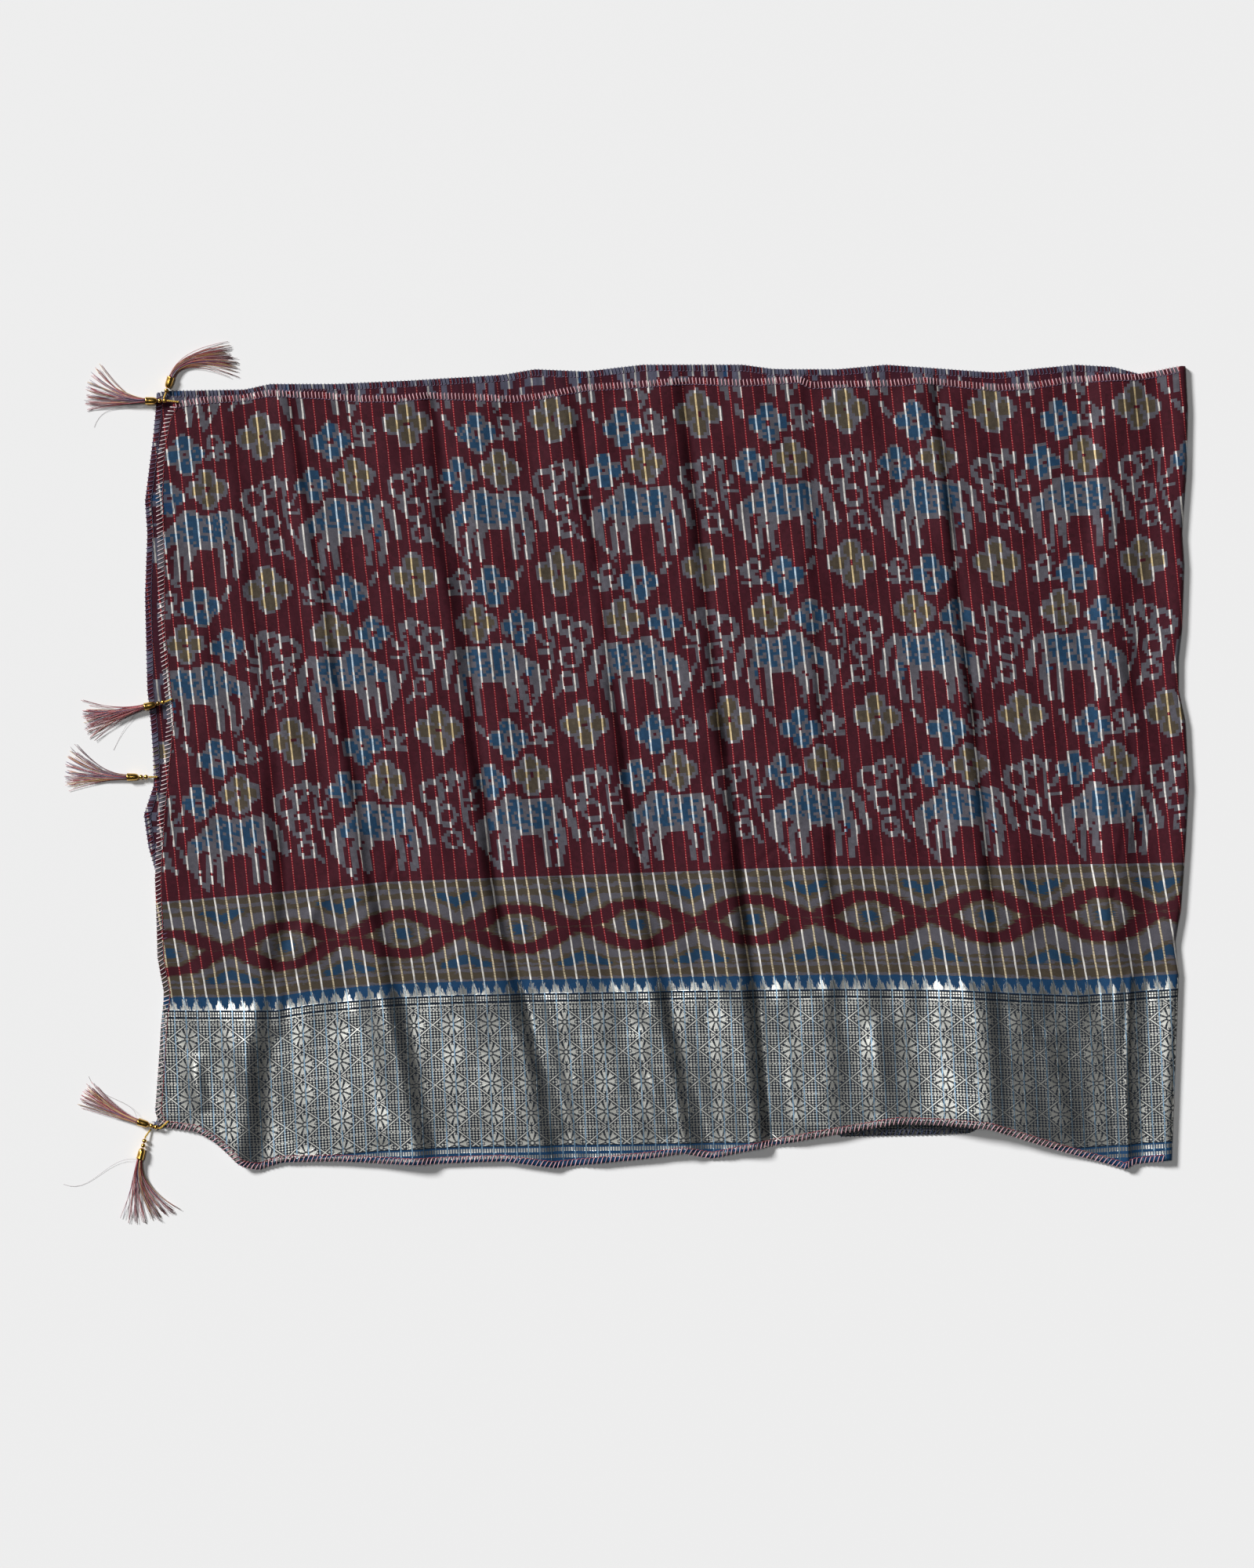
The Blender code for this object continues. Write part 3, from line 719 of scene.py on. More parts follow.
TWIGS = [
    ("stroke", GREY, -15.0, -20.0, -12.4, -22.4, 0.9),
    ("stroke", GREY, -12.4, -22.4, -8.4, -24.4, 0.9),
    ("stroke", GREY, -14.6, -24.2, -11.6, -24.8, 0.8),
    ("ring", GREY, -10.6, -19.4, 2.0, 0.7),
    ("stroke", GREY, 7.6, -20.4, 9.4, -17.2, 0.9),
]
print("marks in an animal:", len(ANIMAL), "and in a sprig:", len(SPRIG))

# %% [markdown]
# The brushes
#
# Each brush asks, for every face at once, whether the face's middle lies inside its mark.
# Marks painted later cover earlier ones, so a flower is its grey edges, then its petals, then
# a bare dot. Positions wrap round the repeat, so a mark that leaves it on one side comes in
# again on the other.

# %% Brushes for the print
MIDDLE_DOT = 0.75
PETAL_EDGE = 0.4
CORNER_EDGE = 1.3
CORNER_PETAL_INSET = 0.6
MOTTLE = -0.25


def inside_oval(x, y, cx, cy, rx, ry):
    """Which points lie inside an upright oval."""
    return ((x - cx) / rx) ** 2 + ((y - cy) / ry) ** 2 < 1.0


def mottled(x, y):
    """Irregular patches two or three steps wide, from three waves that never fall in step."""
    waves = np.sin(1.5 * x + 0.9 * y) * np.sin(1.3 * y - 0.5 * x)
    return waves + 0.5 * np.sin(0.8 * x + 2.1) > MOTTLE


def paint(colours, x, y, marks):
    """Paint brush marks over the colours, where x wraps round the repeat."""
    for brush, colour, *sizes in marks:
        near = ((x - sizes[0] + REPEAT_STEPS / 2) % REPEAT_STEPS) - REPEAT_STEPS / 2 + sizes[0]
        if brush == "oval":
            hit = inside_oval(near, y, *sizes)
        elif brush == "patch":
            hit = inside_oval(near, y, *sizes) & mottled(near, y)
        elif brush == "ring":
            cx, cy, radius, width = sizes
            hit = np.abs(np.hypot(near - cx, y - cy) - radius) < width
        else:
            hit = stroke_distance(near, y, *sizes[:4]) < sizes[4]
        colours[hit] = colour


def flower_marks(colour, x, y, petal, distance, filling):
    """Four round petals edged in grey round a bare dot, with or without filled corners."""
    inset = CORNER_PETAL_INSET if filling else 0.0
    inner = petal - PETAL_EDGE - inset
    outer = petal + PETAL_EDGE
    edges, petals = [], []
    for turn in range(4):
        place = (x + distance * (turn % 2) * (2 - turn), y + distance * ((turn + 1) % 2) * (1 - turn))
        edges.append(("oval", GREY, *place, outer, outer))
        petals.append(("oval", colour, *place, inner, inner))
    if filling:
        corner = filling * CORNER_EDGE
        edges.append(("oval", GREY, x, y, corner, corner))
        petals.append(("patch", colour, x, y, filling - inset, filling - inset))
    return edges + petals + [("oval", GROUND, x, y, MIDDLE_DOT, MIDDLE_DOT)]


print("marks in a flower:", len(flower_marks(*PAIR[0])))

# %% [markdown]
# Rows of animals
#
# The rows run along the panel, each one repeat high. Every second row is the mirror image of
# the one before. The flowers between two rows belong to the upper of them, so the last row,
# which stands on the printed band, has none below it.

# %% The printed body
MIRROR_SHIFT = -1.4
ROW_REACH = 34
FIRST_ANIMAL = 257.5
FIRST_ROW = 317.0
ROW_NUMBERS = range(-1, 3)


def body_print(lengthwise, across):
    """Colour numbers of the printed body at points of the panel."""
    colours = np.full(lengthwise.shape, GROUND)
    row_marks = ANIMAL + SPRIG
    for flower in PAIR:
        row_marks = row_marks + flower_marks(*flower)
    gap_marks = list(TWIGS)
    for flower in BETWEEN_ROWS:
        gap_marks = gap_marks + flower_marks(*flower)
    for number in ROW_NUMBERS:
        marks = row_marks + gap_marks if number < ROW_NUMBERS[-1] else row_marks
        y = (across - FIRST_ROW) / STEP + number * ROW_STEPS
        x = (lengthwise - FIRST_ANIMAL) / STEP
        if number % 2:
            x = -(x - MIRROR_SHIFT)
        near = np.abs(y) < ROW_REACH
        part = colours[near]
        paint(part, x[near], y[near], marks)
        colours[near] = part
    return colours


print("rows of animals:", len(ROW_NUMBERS) - 1)

# %% [markdown]
# From colour numbers to colours
#
# Each face gets two colours: one for the silk itself and one for the metallic yarn where it
# crosses that face, because the yarn takes up the dye around it. Every face is a little
# lighter or darker than the next, as spun silk is.

# %% Colours of silk and yarn
SILK = {
    GROUND: screen_colour(59, 18, 28),
    GREY: screen_colour(80, 78, 85),
    BLUE: screen_colour(29, 58, 84),
    BROWN: screen_colour(70, 62, 51),
}
YARN = {
    GROUND: screen_colour(134, 24, 36),
    GREY: screen_colour(212, 208, 202),
    BLUE: screen_colour(180, 196, 208),
    BROWN: screen_colour(204, 182, 138),
}
SPECKLE = 0.10
EDGE_JITTER = 0.16
TONE_SPREAD = 0.07
REVERSE_SILK = (0.82, 0.86, 1.05)
REVERSE_YARN = 0.8


def face_colours(cloth, reverse):
    """Silk and yarn colours for each face of a grid of cloth coordinates."""
    centres = 0.25 * (cloth[:-1, :-1] + cloth[1:, :-1] + cloth[:-1, 1:] + cloth[1:, 1:])
    lengthwise, across = centres[..., 0], centres[..., 1]
    jitter = rng.uniform(-EDGE_JITTER, EDGE_JITTER, centres.shape) * STEP
    numbers = body_print(lengthwise + jitter[..., 0], across + jitter[..., 1])
    grains = rng.random(numbers.shape)
    numbers = np.where((numbers == BLUE) & (grains < SPECKLE), GREY, numbers)
    silk = np.array([SILK[number] for number in range(4)])[numbers]
    yarn = np.array([YARN[number] for number in range(4)])[numbers]
    tone = rng.normal(1.0, TONE_SPREAD, numbers.shape)[..., None]
    silk = silk * tone
    if reverse:
        silk = silk * np.array(REVERSE_SILK)
        yarn = yarn * REVERSE_YARN
    return silk, yarn


UPPER_SILK, UPPER_YARN = face_colours(UPPER_CLOTH, reverse=False)
LOWER_SILK, LOWER_YARN = face_colours(LOWER_CLOTH, reverse=True)
print("faces with a colour of their own:", UPPER_SILK.shape[0] * UPPER_SILK.shape[1])

# %% [markdown]
# The printed band
#
# Below the animals runs a band of level stripes with a chain of almond shapes along it. It
# has no steps: the dye has bled sideways along the thread, so its edges are soft and streaked.
# It is drawn in the material from two numbers, the depth below the band's start and the
# distance to the nearest almond's middle, and ramps say which colour lies where.

# %% The printed band, from nodes
STRIPES = [
    # share of the band's depth where the colour starts, colour
    (0.0, GREY), (0.018, BROWN), (0.066, GREY), (0.105, BROWN), (0.155, GREY), (0.70, BROWN),
    (0.73, GREY), (0.752, BROWN), (0.772, GREY), (0.80, BROWN), (0.858, GREY), (0.882, BLUE),
]
ALMOND_PITCH = 102.8
ALMOND_PLACE = 66.0
ALMOND_DEPTH = 45.2
ALMOND_DRIFT = -0.011
CHAIN_SHAPE = [
    # share of the way from an almond's middle to the crossing, half heights of chain and almond
    (0.0, 22.6, 13.8), (0.2, 21.8, 12.4), (0.34, 20.4, 8.4), (0.46, 18.6, 4.0), (0.55, 16.6, 1.6),
    (0.62, 14.6, 0.0), (0.74, 11.4, 0.0), (0.88, 7.6, 0.0), (1.0, 4.6, 0.0),
]
TALLEST = 24.0
CHEVRONS = [
    # depth and slope of its line, blue across the line, brown rim across it, depths and
    # distance from the crossing where the blue stays, and the same for the rim
    dict(line=22.0, slope=-0.55, blue=(-5.2, 3.4), rim=(-5.2, 8.0), blue_depths=(12.0, BAND_DEPTH),
         rim_depths=(11.0, BAND_DEPTH), blue_reach=19.0, rim_reach=25.0),
    dict(line=71.5, slope=0.4, blue=(-3.4, 5.4), rim=(-7.0, 5.4), blue_depths=(0.0, 81.0),
         rim_depths=(0.0, 82.0), blue_reach=23.0, rim_reach=28.0),
]
CHAIN_RIM = 2.6
PALE_INSET = 3.4
PALE_RING = 4.4
PALE_RING_HALF = 0.9
PALE_FROM = 10.0
PALE_TO = 21.0
EYE = (6.8, 5.0)
BLEED = 20.0
EDGE_BLEED = 7.0
print("stripes in the band:", len(STRIPES))

# %% [markdown]
# Ramps and streaks
#
# A colour ramp is a quick way to write a drawing as a table: its stops can be stripes, or,
# with the colour's red and green as two plain numbers, the outline of an almond. Noise that
# is stretched along the panel moves the place where the ramp is read, so edges bleed.


# %% Ramps and streaks
def ramp(tree, place, stops, blend):
    """Read a colour ramp at a Field. Each stop is a place and a colour."""
    made = tree.nodes.new("ShaderNodeValToRGB")
    made.color_ramp.interpolation = blend
    elements = made.color_ramp.elements
    while len(elements) > 1:
        elements.remove(elements[-1])
    for number, (position, colour) in enumerate(stops):
        stop = elements[0] if number == 0 else elements.new(position)
        stop.position = position
        stop.color = (*colour, 1.0)
    tree.links.new(place.socket, made.inputs["Fac"])
    return made.outputs["Color"]


def split_colour(tree, colour):
    """Red, green and blue of a colour as three numbers."""
    parts = tree.nodes.new("ShaderNodeSeparateColor")
    tree.links.new(colour, parts.inputs[0])
    return [Field(tree, socket) for socket in parts.outputs]


def streaks(tree, lengthwise, across, wide, tall):
    """Noise that is drawn out along the panel, as dye spreads along a thread."""
    spot = tree.nodes.new("ShaderNodeCombineXYZ")
    tree.links.new((lengthwise / wide).socket, spot.inputs[0])
    tree.links.new((across / tall).socket, spot.inputs[1])
    return noise(tree, spot.outputs[0], scale=1.0, detail=2.0, roughness=0.6)


def chevron_marks(depth, crossing):
    """Where the chevrons above and below the chain are blue, and where their rims lie."""
    found = {"blue": [], "rim": []}
    for chevron in CHEVRONS:
        from_line = depth - chevron["line"] - crossing * chevron["slope"]
        for kind, marks in found.items():
            mark = from_line.band(*chevron[kind]).both(depth.band(*chevron[kind + "_depths"]))
            marks.append(mark.both(crossing.below(chevron[kind + "_reach"])))
    return found["blue"][0].either(found["blue"][1]), found["rim"][0].either(found["rim"][1])


print("chevrons to a repeat of the band:", len(CHEVRONS))

# %% [markdown]
# The chain of almonds
#
# The band is painted in layers, like the body: level stripes, brown rims, blue chevrons, the
# burgundy chain, and then the almond inside it with a pale filling and a blue eye. Each layer
# is a number from nought to one that mixes its colour over what lies below.


# %% The band's layers
def band_colours(tree, lengthwise, across):
    """The band's silk, and where its burgundy chain lies."""
    depth = across.node("MULTIPLY", -1.0)
    bleed = (streaks(tree, lengthwise, across, wide=14.0, tall=0.9) - 0.5) * BLEED
    waver = (streaks(tree, lengthwise, across, wide=9.0, tall=2.2) - 0.5) * EDGE_BLEED
    depth = depth + waver
    place = (lengthwise + bleed - ALMOND_PLACE) / ALMOND_PITCH
    share = (place + 0.5).part() - 0.5
    aside = share.size() * 2.0
    crossing = (aside.flipped()) * (ALMOND_PITCH / 2)
    levels = [(start, SILK[colour]) for start, colour in STRIPES]
    silk = ramp(tree, depth / BAND_DEPTH, levels, "CONSTANT")

    centre = lengthwise * ALMOND_DRIFT + ALMOND_DEPTH
    from_centre = (depth - centre).size()
    shape = [(start, (chain / TALLEST, almond / TALLEST, 0.0)) for start, chain, almond in CHAIN_SHAPE]
    chain, almond, _ = split_colour(tree, ramp(tree, aside, shape, "LINEAR"))
    chain = chain * TALLEST
    almond = almond * TALLEST

    blue, blue_rim = chevron_marks(depth, crossing)
    silk = mixed(tree, blue_rim, silk, SILK[BROWN])
    silk = mixed(tree, blue, silk, SILK[BLUE])

    rim = (from_centre - chain - CHAIN_RIM).soft_below(0.0, soft=1.2)
    burgundy = (from_centre - chain).soft_below(0.0, soft=1.0)
    seed = (from_centre - almond).soft_below(0.0, soft=1.0)
    silk = mixed(tree, rim, silk, SILK[BROWN])
    silk = mixed(tree, burgundy, silk, SILK[GROUND])
    silk = mixed(tree, seed, silk, SILK[BROWN])
    along_seed = share.size() * ALMOND_PITCH
    past_eye = (along_seed - PALE_FROM).soft_below(0.0, soft=1.2).flipped()
    filling = (from_centre - almond + PALE_INSET).soft_below(0.0, soft=0.8).both(past_eye)
    ring = (from_centre - almond + PALE_RING).size().soft_below(PALE_RING_HALF, soft=0.6)
    pale = filling.either(ring).both(along_seed.below(PALE_TO))
    silk = mixed(tree, pale.both(seed), silk, SILK[GREY])
    eye = (along_seed / EYE[0]).node("POWER", 4.0) + (from_centre / EYE[1]).node("POWER", 4.0)
    silk = mixed(tree, eye.soft_below(1.0, soft=0.4), silk, SILK[BLUE])
    return silk, burgundy.both(seed.flipped())


print("almonds along the band: about", round(2 * FOLD_LINE[0][1] / ALMOND_PITCH))

# %% [markdown]
# The woven border
#
# The border is woven with flat silver thread. Its lines are under a millimetre wide, much
# finer than a face, so it isn't painted like the body but drawn by nodes. Its lattice of
# diamonds, each round an eight-petalled flower, is worked out from the place inside one
# repeat: the sum of the two distances from the middle gives a diamond, and the angle round
# the middle gives petals. The answer is how much silver shows, and dark blue silk shows
# where there is none.

# %% The woven border, from nodes
YARN_PITCH = 10.15
LATTICE = (33.1, 26.4)
LATTICE_START = 12.0
LATTICE_SHIFT = 5.5
BORDER_DEPTH = 141.0
TEETH_DEPTH = 12.0
HEM_BLUE = 7.0
ZARI = screen_colour(184, 184, 178)
BORDER_SILK = screen_colour(16, 25, 37)
BORDER_BLUE = screen_colour(22, 56, 88)
BORDER_YARN = screen_colour(118, 152, 178)
CHECK_PITCH = (2.76, 2.4)
CHECK_HALF = 0.42
DIAMOND_LINE = 0.024
DIAMOND_EDGE = 0.062
PETALS = 8
PETAL_WIDTH = 0.38
PETAL_END = 8.6
PETAL_CURVE = 3.0
VEIN_WIDTH = -0.55
VEIN_RADII = (5.6, 9.2)
FLOWER_BARE = 2.8
HEART_RADIUS = 1.3
ROUND_RADIUS = 9.4
CROSS_ROW = (0.47, 0.484)
CROSS_DASH = (4.1, 0.36)


def lattice_pattern(lengthwise, below):
    """How much silver shows in the border, from nought to one."""
    a = ((lengthwise - LATTICE_SHIFT) / LATTICE[0]).part() - 0.5
    b = (below / LATTICE[1]).part() - 0.5
    across_x = a * LATTICE[0]
    across_y = b * LATTICE[1]
    radius = (across_x * across_x + across_y * across_y).node("SQRT")
    angle = across_y.node("ARCTAN2", across_x)
    corner = a.size() + b.size()
    fill_x = ((lengthwise / CHECK_PITCH[0]).part() - 0.5).size()
    fill_y = ((below / CHECK_PITCH[1]).part() - 0.5).size()
    checks = (fill_x + fill_y).soft_below(CHECK_HALF, soft=0.12)
    outline = (corner - 0.5).size().soft_below(DIAMOND_LINE, soft=0.012)
    dark_edge = (corner - 0.5).size().soft_below(DIAMOND_EDGE, soft=0.012)
    petals = (angle * PETALS).node("COSINE") * 0.5 + 0.5
    petal = (petals - PETAL_WIDTH).node("MULTIPLY", -1.0).soft_below(0.0, soft=0.15)
    leaf_end = (radius - PETAL_END + petals.flipped() * PETAL_CURVE).soft_below(0.0, soft=0.35)
    vein = (angle * (2 * PETALS)).node("COSINE").below(VEIN_WIDTH).both(radius.band(*VEIN_RADII))
    middle = (radius - FLOWER_BARE).soft_below(0.0, soft=0.3)
    flower = petal.both(leaf_end).both(middle.flipped()).either(vein)
    heart = radius.soft_below(HEART_RADIUS, soft=0.3)
    round_dark = radius.soft_below(ROUND_RADIUS, soft=0.6)
    pattern = checks.both(dark_edge.flipped()).either(outline)
    pattern = pattern.both(round_dark * -0.75 + 1.0).either(flower * 0.92).either(heart)
    dashes = ((lengthwise / CROSS_DASH[0]).part() - 0.5).size().below(CROSS_DASH[1])
    row_dark = (b.size() - CROSS_ROW[0]).soft_below(0.0, soft=0.004).flipped()
    row_line = (b.size() - CROSS_ROW[1]).soft_below(0.0, soft=0.004).flipped().both(dashes)
    return pattern.both(row_dark.flipped()).either(row_line) * 0.92 + 0.01


print("repeats of the lattice down the border: %.1f" % (BORDER_DEPTH / LATTICE[1]))

# %% [markdown]
# The border's edges
#
# Between the printed band and the lattice stands a row of woven teeth, each on one metallic
# yarn. A noise that is stretched down the tooth makes them ragged, as loose weaving is. Rows
# of short silver dashes close the lattice above and below.

# %% Teeth and dashes
LATTICE_BAND = (7.4, BORDER_DEPTH - 8.0)
DASH_ROWS = [
    # depth in the border where the row starts and ends
    (1.4, 3.0), (3.8, 5.4), (7.4, 8.8),
    (BORDER_DEPTH - 5.6, BORDER_DEPTH - 2.2), (BORDER_DEPTH + 0.4, BORDER_DEPTH + 3.4),
]
DASH_PITCH = 2.3
DASH_HALF = 0.30
TOOTH_WIDTH = 1.5
TOOTH_TAPER = 0.8
TOOTH_RAGGED = 1.7
TOOTH_FOOT = 0.70
TOOTH_GAP = 0.4
TOOTH_WORN = 0.34


def border_silver(tree, lengthwise, across, wear):
    """Silver of the whole border: teeth, edge lines, lattice and the dashes at the hem."""
    below = across.node("MULTIPLY", -1.0) - BAND_DEPTH
    lattice = lattice_pattern(lengthwise, below - LATTICE_START).both(below.band(*LATTICE_BAND))
    dash = ((lengthwise / DASH_PITCH).part() - 0.5).size().soft_below(DASH_HALF, soft=0.06)
    rows = below.band(*DASH_ROWS[0])
    for row in DASH_ROWS[1:]:
        rows = rows.either(below.band(*row))
    silver = lattice.either(rows.both(dash))
    aside = ((lengthwise / YARN_PITCH).part() - 0.5).size()
    height = (across + BAND_DEPTH) / TEETH_DEPTH
    jag = streaks(tree, lengthwise, across, wide=1.1, tall=7.0) - 0.5
    outline = aside * TOOTH_WIDTH + height * TOOTH_TAPER + jag * TOOTH_RAGGED - TOOTH_FOOT
    tooth = outline.soft_below(0.0, soft=0.07)
    teeth = tooth.both(across.band(-BAND_DEPTH + TOOTH_GAP, -BAND_DEPTH + TEETH_DEPTH))
    return silver.either(teeth.both(wear.above(TOOTH_WORN)))


print("rows of dashes:", len(DASH_ROWS))

# %% [markdown]
# The metallic yarns
#
# A metallic yarn crosses the panel about every centimetre. Some ninety ribbons could stand
# for them, but the yarns are woven flush with the silk, so the material draws them. A yarn
# takes up the dye round it: over burgundy it is dark red with pale flecks where the metal
# shows, over grey it is white, and in the printed band every second one is golden. Its
# colour comes with each face, and nodes add the flecks, the glitter and the worn places.

# %% Metallic yarns, from nodes
FLECK_PITCH = 2.3
WHITE_YARN_WIDTH = 0.15
RED_YARN_WIDTH = 0.10
FLECK = screen_colour(200, 124, 118)
GOLD_YARN = screen_colour(206, 184, 138)


def yarn_colours(tree, colour, lengthwise, across, uv):
    """Yarns are solid white, dotted gold, or dark red with pale flecks over burgundy."""
    red, green, _ = split_colour(tree, colour)
    dotted = (green - red * 0.2).below(0.0)
    every_second = (lengthwise / (2 * YARN_PITCH)).part().above(0.5)
    glitter = noise(tree, uv, scale=900.0, detail=1.0, roughness=0.5)
    turn = (across / FLECK_PITCH + lengthwise * 0.12 + glitter * 0.7).part()
    fleck = (turn - 0.5).size().soft_below(0.12, soft=0.05).both(glitter * 1.1 + 0.15)
    golden = every_second.both(dotted.flipped())
    golden = golden.both(across.band(-BAND_DEPTH * STRIPES[-1][0], 0.0))
    colour = mixed(tree, golden * 0.7, colour, GOLD_YARN)
    worn = streaks(tree, across, lengthwise, wide=6.0, tall=3.0)
    shade = glitter * 0.6 + worn * 1.5 - 0.15 - (golden.both((turn - 0.5).size()) * 0.8)
    colour = scaled(tree, colour, shade)
    return mixed(tree, dotted.both(fleck), colour, FLECK), dotted


print("yarns across one half:", round((FOLD_LINE[0][1] - BACK_LEFT_HEM[0][1]) / YARN_PITCH))

# %% [markdown]
# The cloth's material
#
# The painted colours arrive as attributes, and the band, the border and the yarns are mixed
# over them. Metallic places are smoother, so they catch the light on one side of a crease and
# go dark on the other. Silk threads are finer than any face, so their grain is bump.

# %% The cloth's material
BAND_SHADE = -0.1
YARN_WANDER = 0.8
DULL = 0.74
POLISH = -0.505


def panel_place(tree):
    """The panel map, and the place along and across the panel in millimetres."""
    uv = tree.nodes.new("ShaderNodeUVMap")
    uv.uv_map = "panel"
    parts = tree.nodes.new("ShaderNodeSeparateXYZ")
    tree.links.new(uv.outputs[0], parts.inputs[0])
    along_panel = Field(tree, parts.outputs[0]) * 1000.0
    across_panel = Field(tree, parts.outputs[1]) * 1000.0
    return uv.outputs[0], along_panel, across_panel


def dyed_colours(tree, lengthwise, across, teeth_zone):
    """Colours of the silk and of the yarn, with the band and the border over the body."""
    in_band = across.below(0.0)
    in_border = across.below(-BAND_DEPTH)
    hem_strip = across.below(HEM_BLUE - BAND_DEPTH - BORDER_DEPTH)
    band_silk, burgundy = band_colours(tree, lengthwise, across)
    band_shade = in_band * BAND_SHADE + 1.0
    band_yarn = mixed(tree, burgundy.above(0.5), YARN[GREY], YARN[GROUND])
    band_yarn = mixed(tree, teeth_zone, band_yarn, BORDER_YARN)
    silk = mixed(tree, in_band, attribute(tree, "silk"), scaled(tree, band_silk, band_shade))
    silk = mixed(tree, teeth_zone, silk, BORDER_BLUE)
    silk = mixed(tree, in_border, silk, BORDER_SILK)
    silk = mixed(tree, hem_strip, silk, BORDER_BLUE)
    return silk, mixed(tree, in_band, attribute(tree, "yarn"), band_yarn)


def yarn_cover(tree, uv, lengthwise, narrow):
    """Where a metallic yarn lies. The yarns wander a little, and some are narrower."""
    wander = noise(tree, uv, scale=60.0, detail=1.0, roughness=0.4) - 0.5
    yarn_place = (lengthwise + wander * YARN_WANDER) / YARN_PITCH
    from_yarn = (yarn_place.part() - 0.5).size()
    narrowing = 0.5 * (RED_YARN_WIDTH - WHITE_YARN_WIDTH)
    half = narrow * narrowing + 0.5 * WHITE_YARN_WIDTH
    return (from_yarn - half).soft_below(0.0, soft=0.012)


def cloth_material(name, reverse):
    """Printed silk with its band, border and yarns, or its duller wrong side."""
    material, tree, shader = new_material(name)
    uv, lengthwise, across = panel_place(tree)
    teeth_zone = across.below(-BAND_DEPTH * STRIPES[-1][0])
    silk, yarn = dyed_colours(tree, lengthwise, across, teeth_zone)

    weave = noise(tree, uv, scale=1400.0, detail=2.0, roughness=0.6)
    cloudy = noise(tree, uv, scale=220.0, detail=3.0, roughness=0.55)
    silk = scaled(tree, silk, weave * 1.1 + cloudy * 0.5 + 0.2)
    yarn, dotted = yarn_colours(tree, yarn, lengthwise, across, uv)
    on_yarn = yarn_cover(tree, uv, lengthwise, dotted.either(teeth_zone))

    thread = noise(tree, uv, scale=1700.0, detail=1.0, roughness=0.5)
    silver = border_silver(tree, lengthwise, across, thread)
    silver = silver.both(thread * 1.3 + 0.35).node("MINIMUM", 1.0)
    gleam = on_yarn.both(silver * -0.5 + 1.0)
    colour = mixed(tree, silver, silk, ZARI)
    colour = mixed(tree, gleam, colour, yarn)
    metal = (silver * 0.92).either(gleam.both(teeth_zone * 0.6 + 0.3))
    if reverse:
        colour = scaled(tree, colour, silver * -0.6 + on_yarn * -0.35 + 1.0)
        metal = metal * 0.4
    rough = metal * POLISH + DULL
    grain = (weave * 0.5 + thread * 0.4).both(silver * -0.85 + 1.0)
    bump(tree, shader, grain + on_yarn * 0.9 + silver * 0.1, distance=0.0003, strength=0.45)
    tree.links.new(colour, shader.inputs["Base Color"])
    tree.links.new(metal.socket, shader.inputs["Metallic"])
    tree.links.new(rough.socket, shader.inputs["Roughness"])
    shader.inputs["Specular IOR Level"].default_value = 0.12
    shader.inputs["Sheen Weight"].default_value = 0.02
    shader.inputs["Sheen Roughness"].default_value = 0.5
    return material


silk_face = cloth_material("silk_face", reverse=False)
silk_reverse = cloth_material("silk_reverse", reverse=True)
print("nodes in the silk's material:", len(silk_face.node_tree.nodes))

# %% [markdown]
# Closing a sheet
#
# A fine sheet of single faces has no thickness. A solidify modifier would give it one, with
# as many faces again underneath, so the sheet's underside is closed here with faces four
# times as wide. Each wide edge of the underside meets four narrow ones of the top in a single
# rim face. The wide faces keep to the lowest nearby point of the top, so they never cross it.

# %% Sheet builder
WIDE = 4
SHEET_WALL = 0.55
BAKE_TOP_SHARE = 0.94
BAKE_MARGIN = 0.002


def lowest_nearby(height):
    """The lowest height within one wide face of each wide corner."""
    padded = np.pad(height, WIDE, mode="edge")
    lowest = np.full(height.shape, np.inf)
    for shift_x in range(-WIDE, WIDE + 1):
        for shift_y in range(-WIDE, WIDE + 1):
            window = padded[WIDE + shift_x:WIDE + shift_x + height.shape[0],
                            WIDE + shift_y:WIDE + shift_y + height.shape[1]]
            lowest = np.minimum(lowest, window)
    return lowest[::WIDE, ::WIDE]


def sheet_faces(columns, rows):
    """Faces of the fine top, the wide underside and the rim, as lists of point numbers."""
    def top(column, row):
        return column * (rows + 1) + row

    def under(column, row):
        return (columns + 1) * (rows + 1) + (column // WIDE) * (rows // WIDE + 1) + row // WIDE

    faces = []
    for c in range(columns):
        for r in range(rows):
            faces.append((top(c, r), top(c + 1, r), top(c + 1, r + 1), top(c, r + 1)))
    for c in range(0, columns, WIDE):
        for r in range(0, rows, WIDE):
            faces.append((under(c, r), under(c, r + WIDE), under(c + WIDE, r + WIDE),
                          under(c + WIDE, r)))
    for c in range(0, columns, WIDE):
        near = [top(c + n, 0) for n in range(WIDE, -1, -1)]
        faces.append((*near, under(c, 0), under(c + WIDE, 0)))
        far = [top(c + n, rows) for n in range(WIDE + 1)]
        faces.append((*far, under(c + WIDE, rows), under(c, rows)))
    for r in range(0, rows, WIDE):
        near = [top(0, r + n) for n in range(WIDE + 1)]
        faces.append((*near, under(0, r + WIDE), under(0, r)))
        far = [top(columns, r + n) for n in range(WIDE, -1, -1)]
        faces.append((*far, under(columns, r), under(columns, r + WIDE)))
    return faces


print("faces in a sheet of 8 by 8:", len(sheet_faces(8, 8)))

# %% [markdown]
# The sheet's maps and colours
#
# Each sheet gets two maps. One gives the place on the real panel, in metres, which the
# material's nodes read. The other lays the top and the underside out side by side between
# nought and one, as a bake needs it. The two painted colours are stored on face corners, so
# they stay sharp from face to face.


# %% Building a sheet
def corner_values(mesh, values):
    """Spread a value for each point over the mesh's face corners."""
    corners = np.zeros(len(mesh.loops), dtype=np.int32)
    mesh.loops.foreach_get("vertex_index", corners)
    return values[corners]


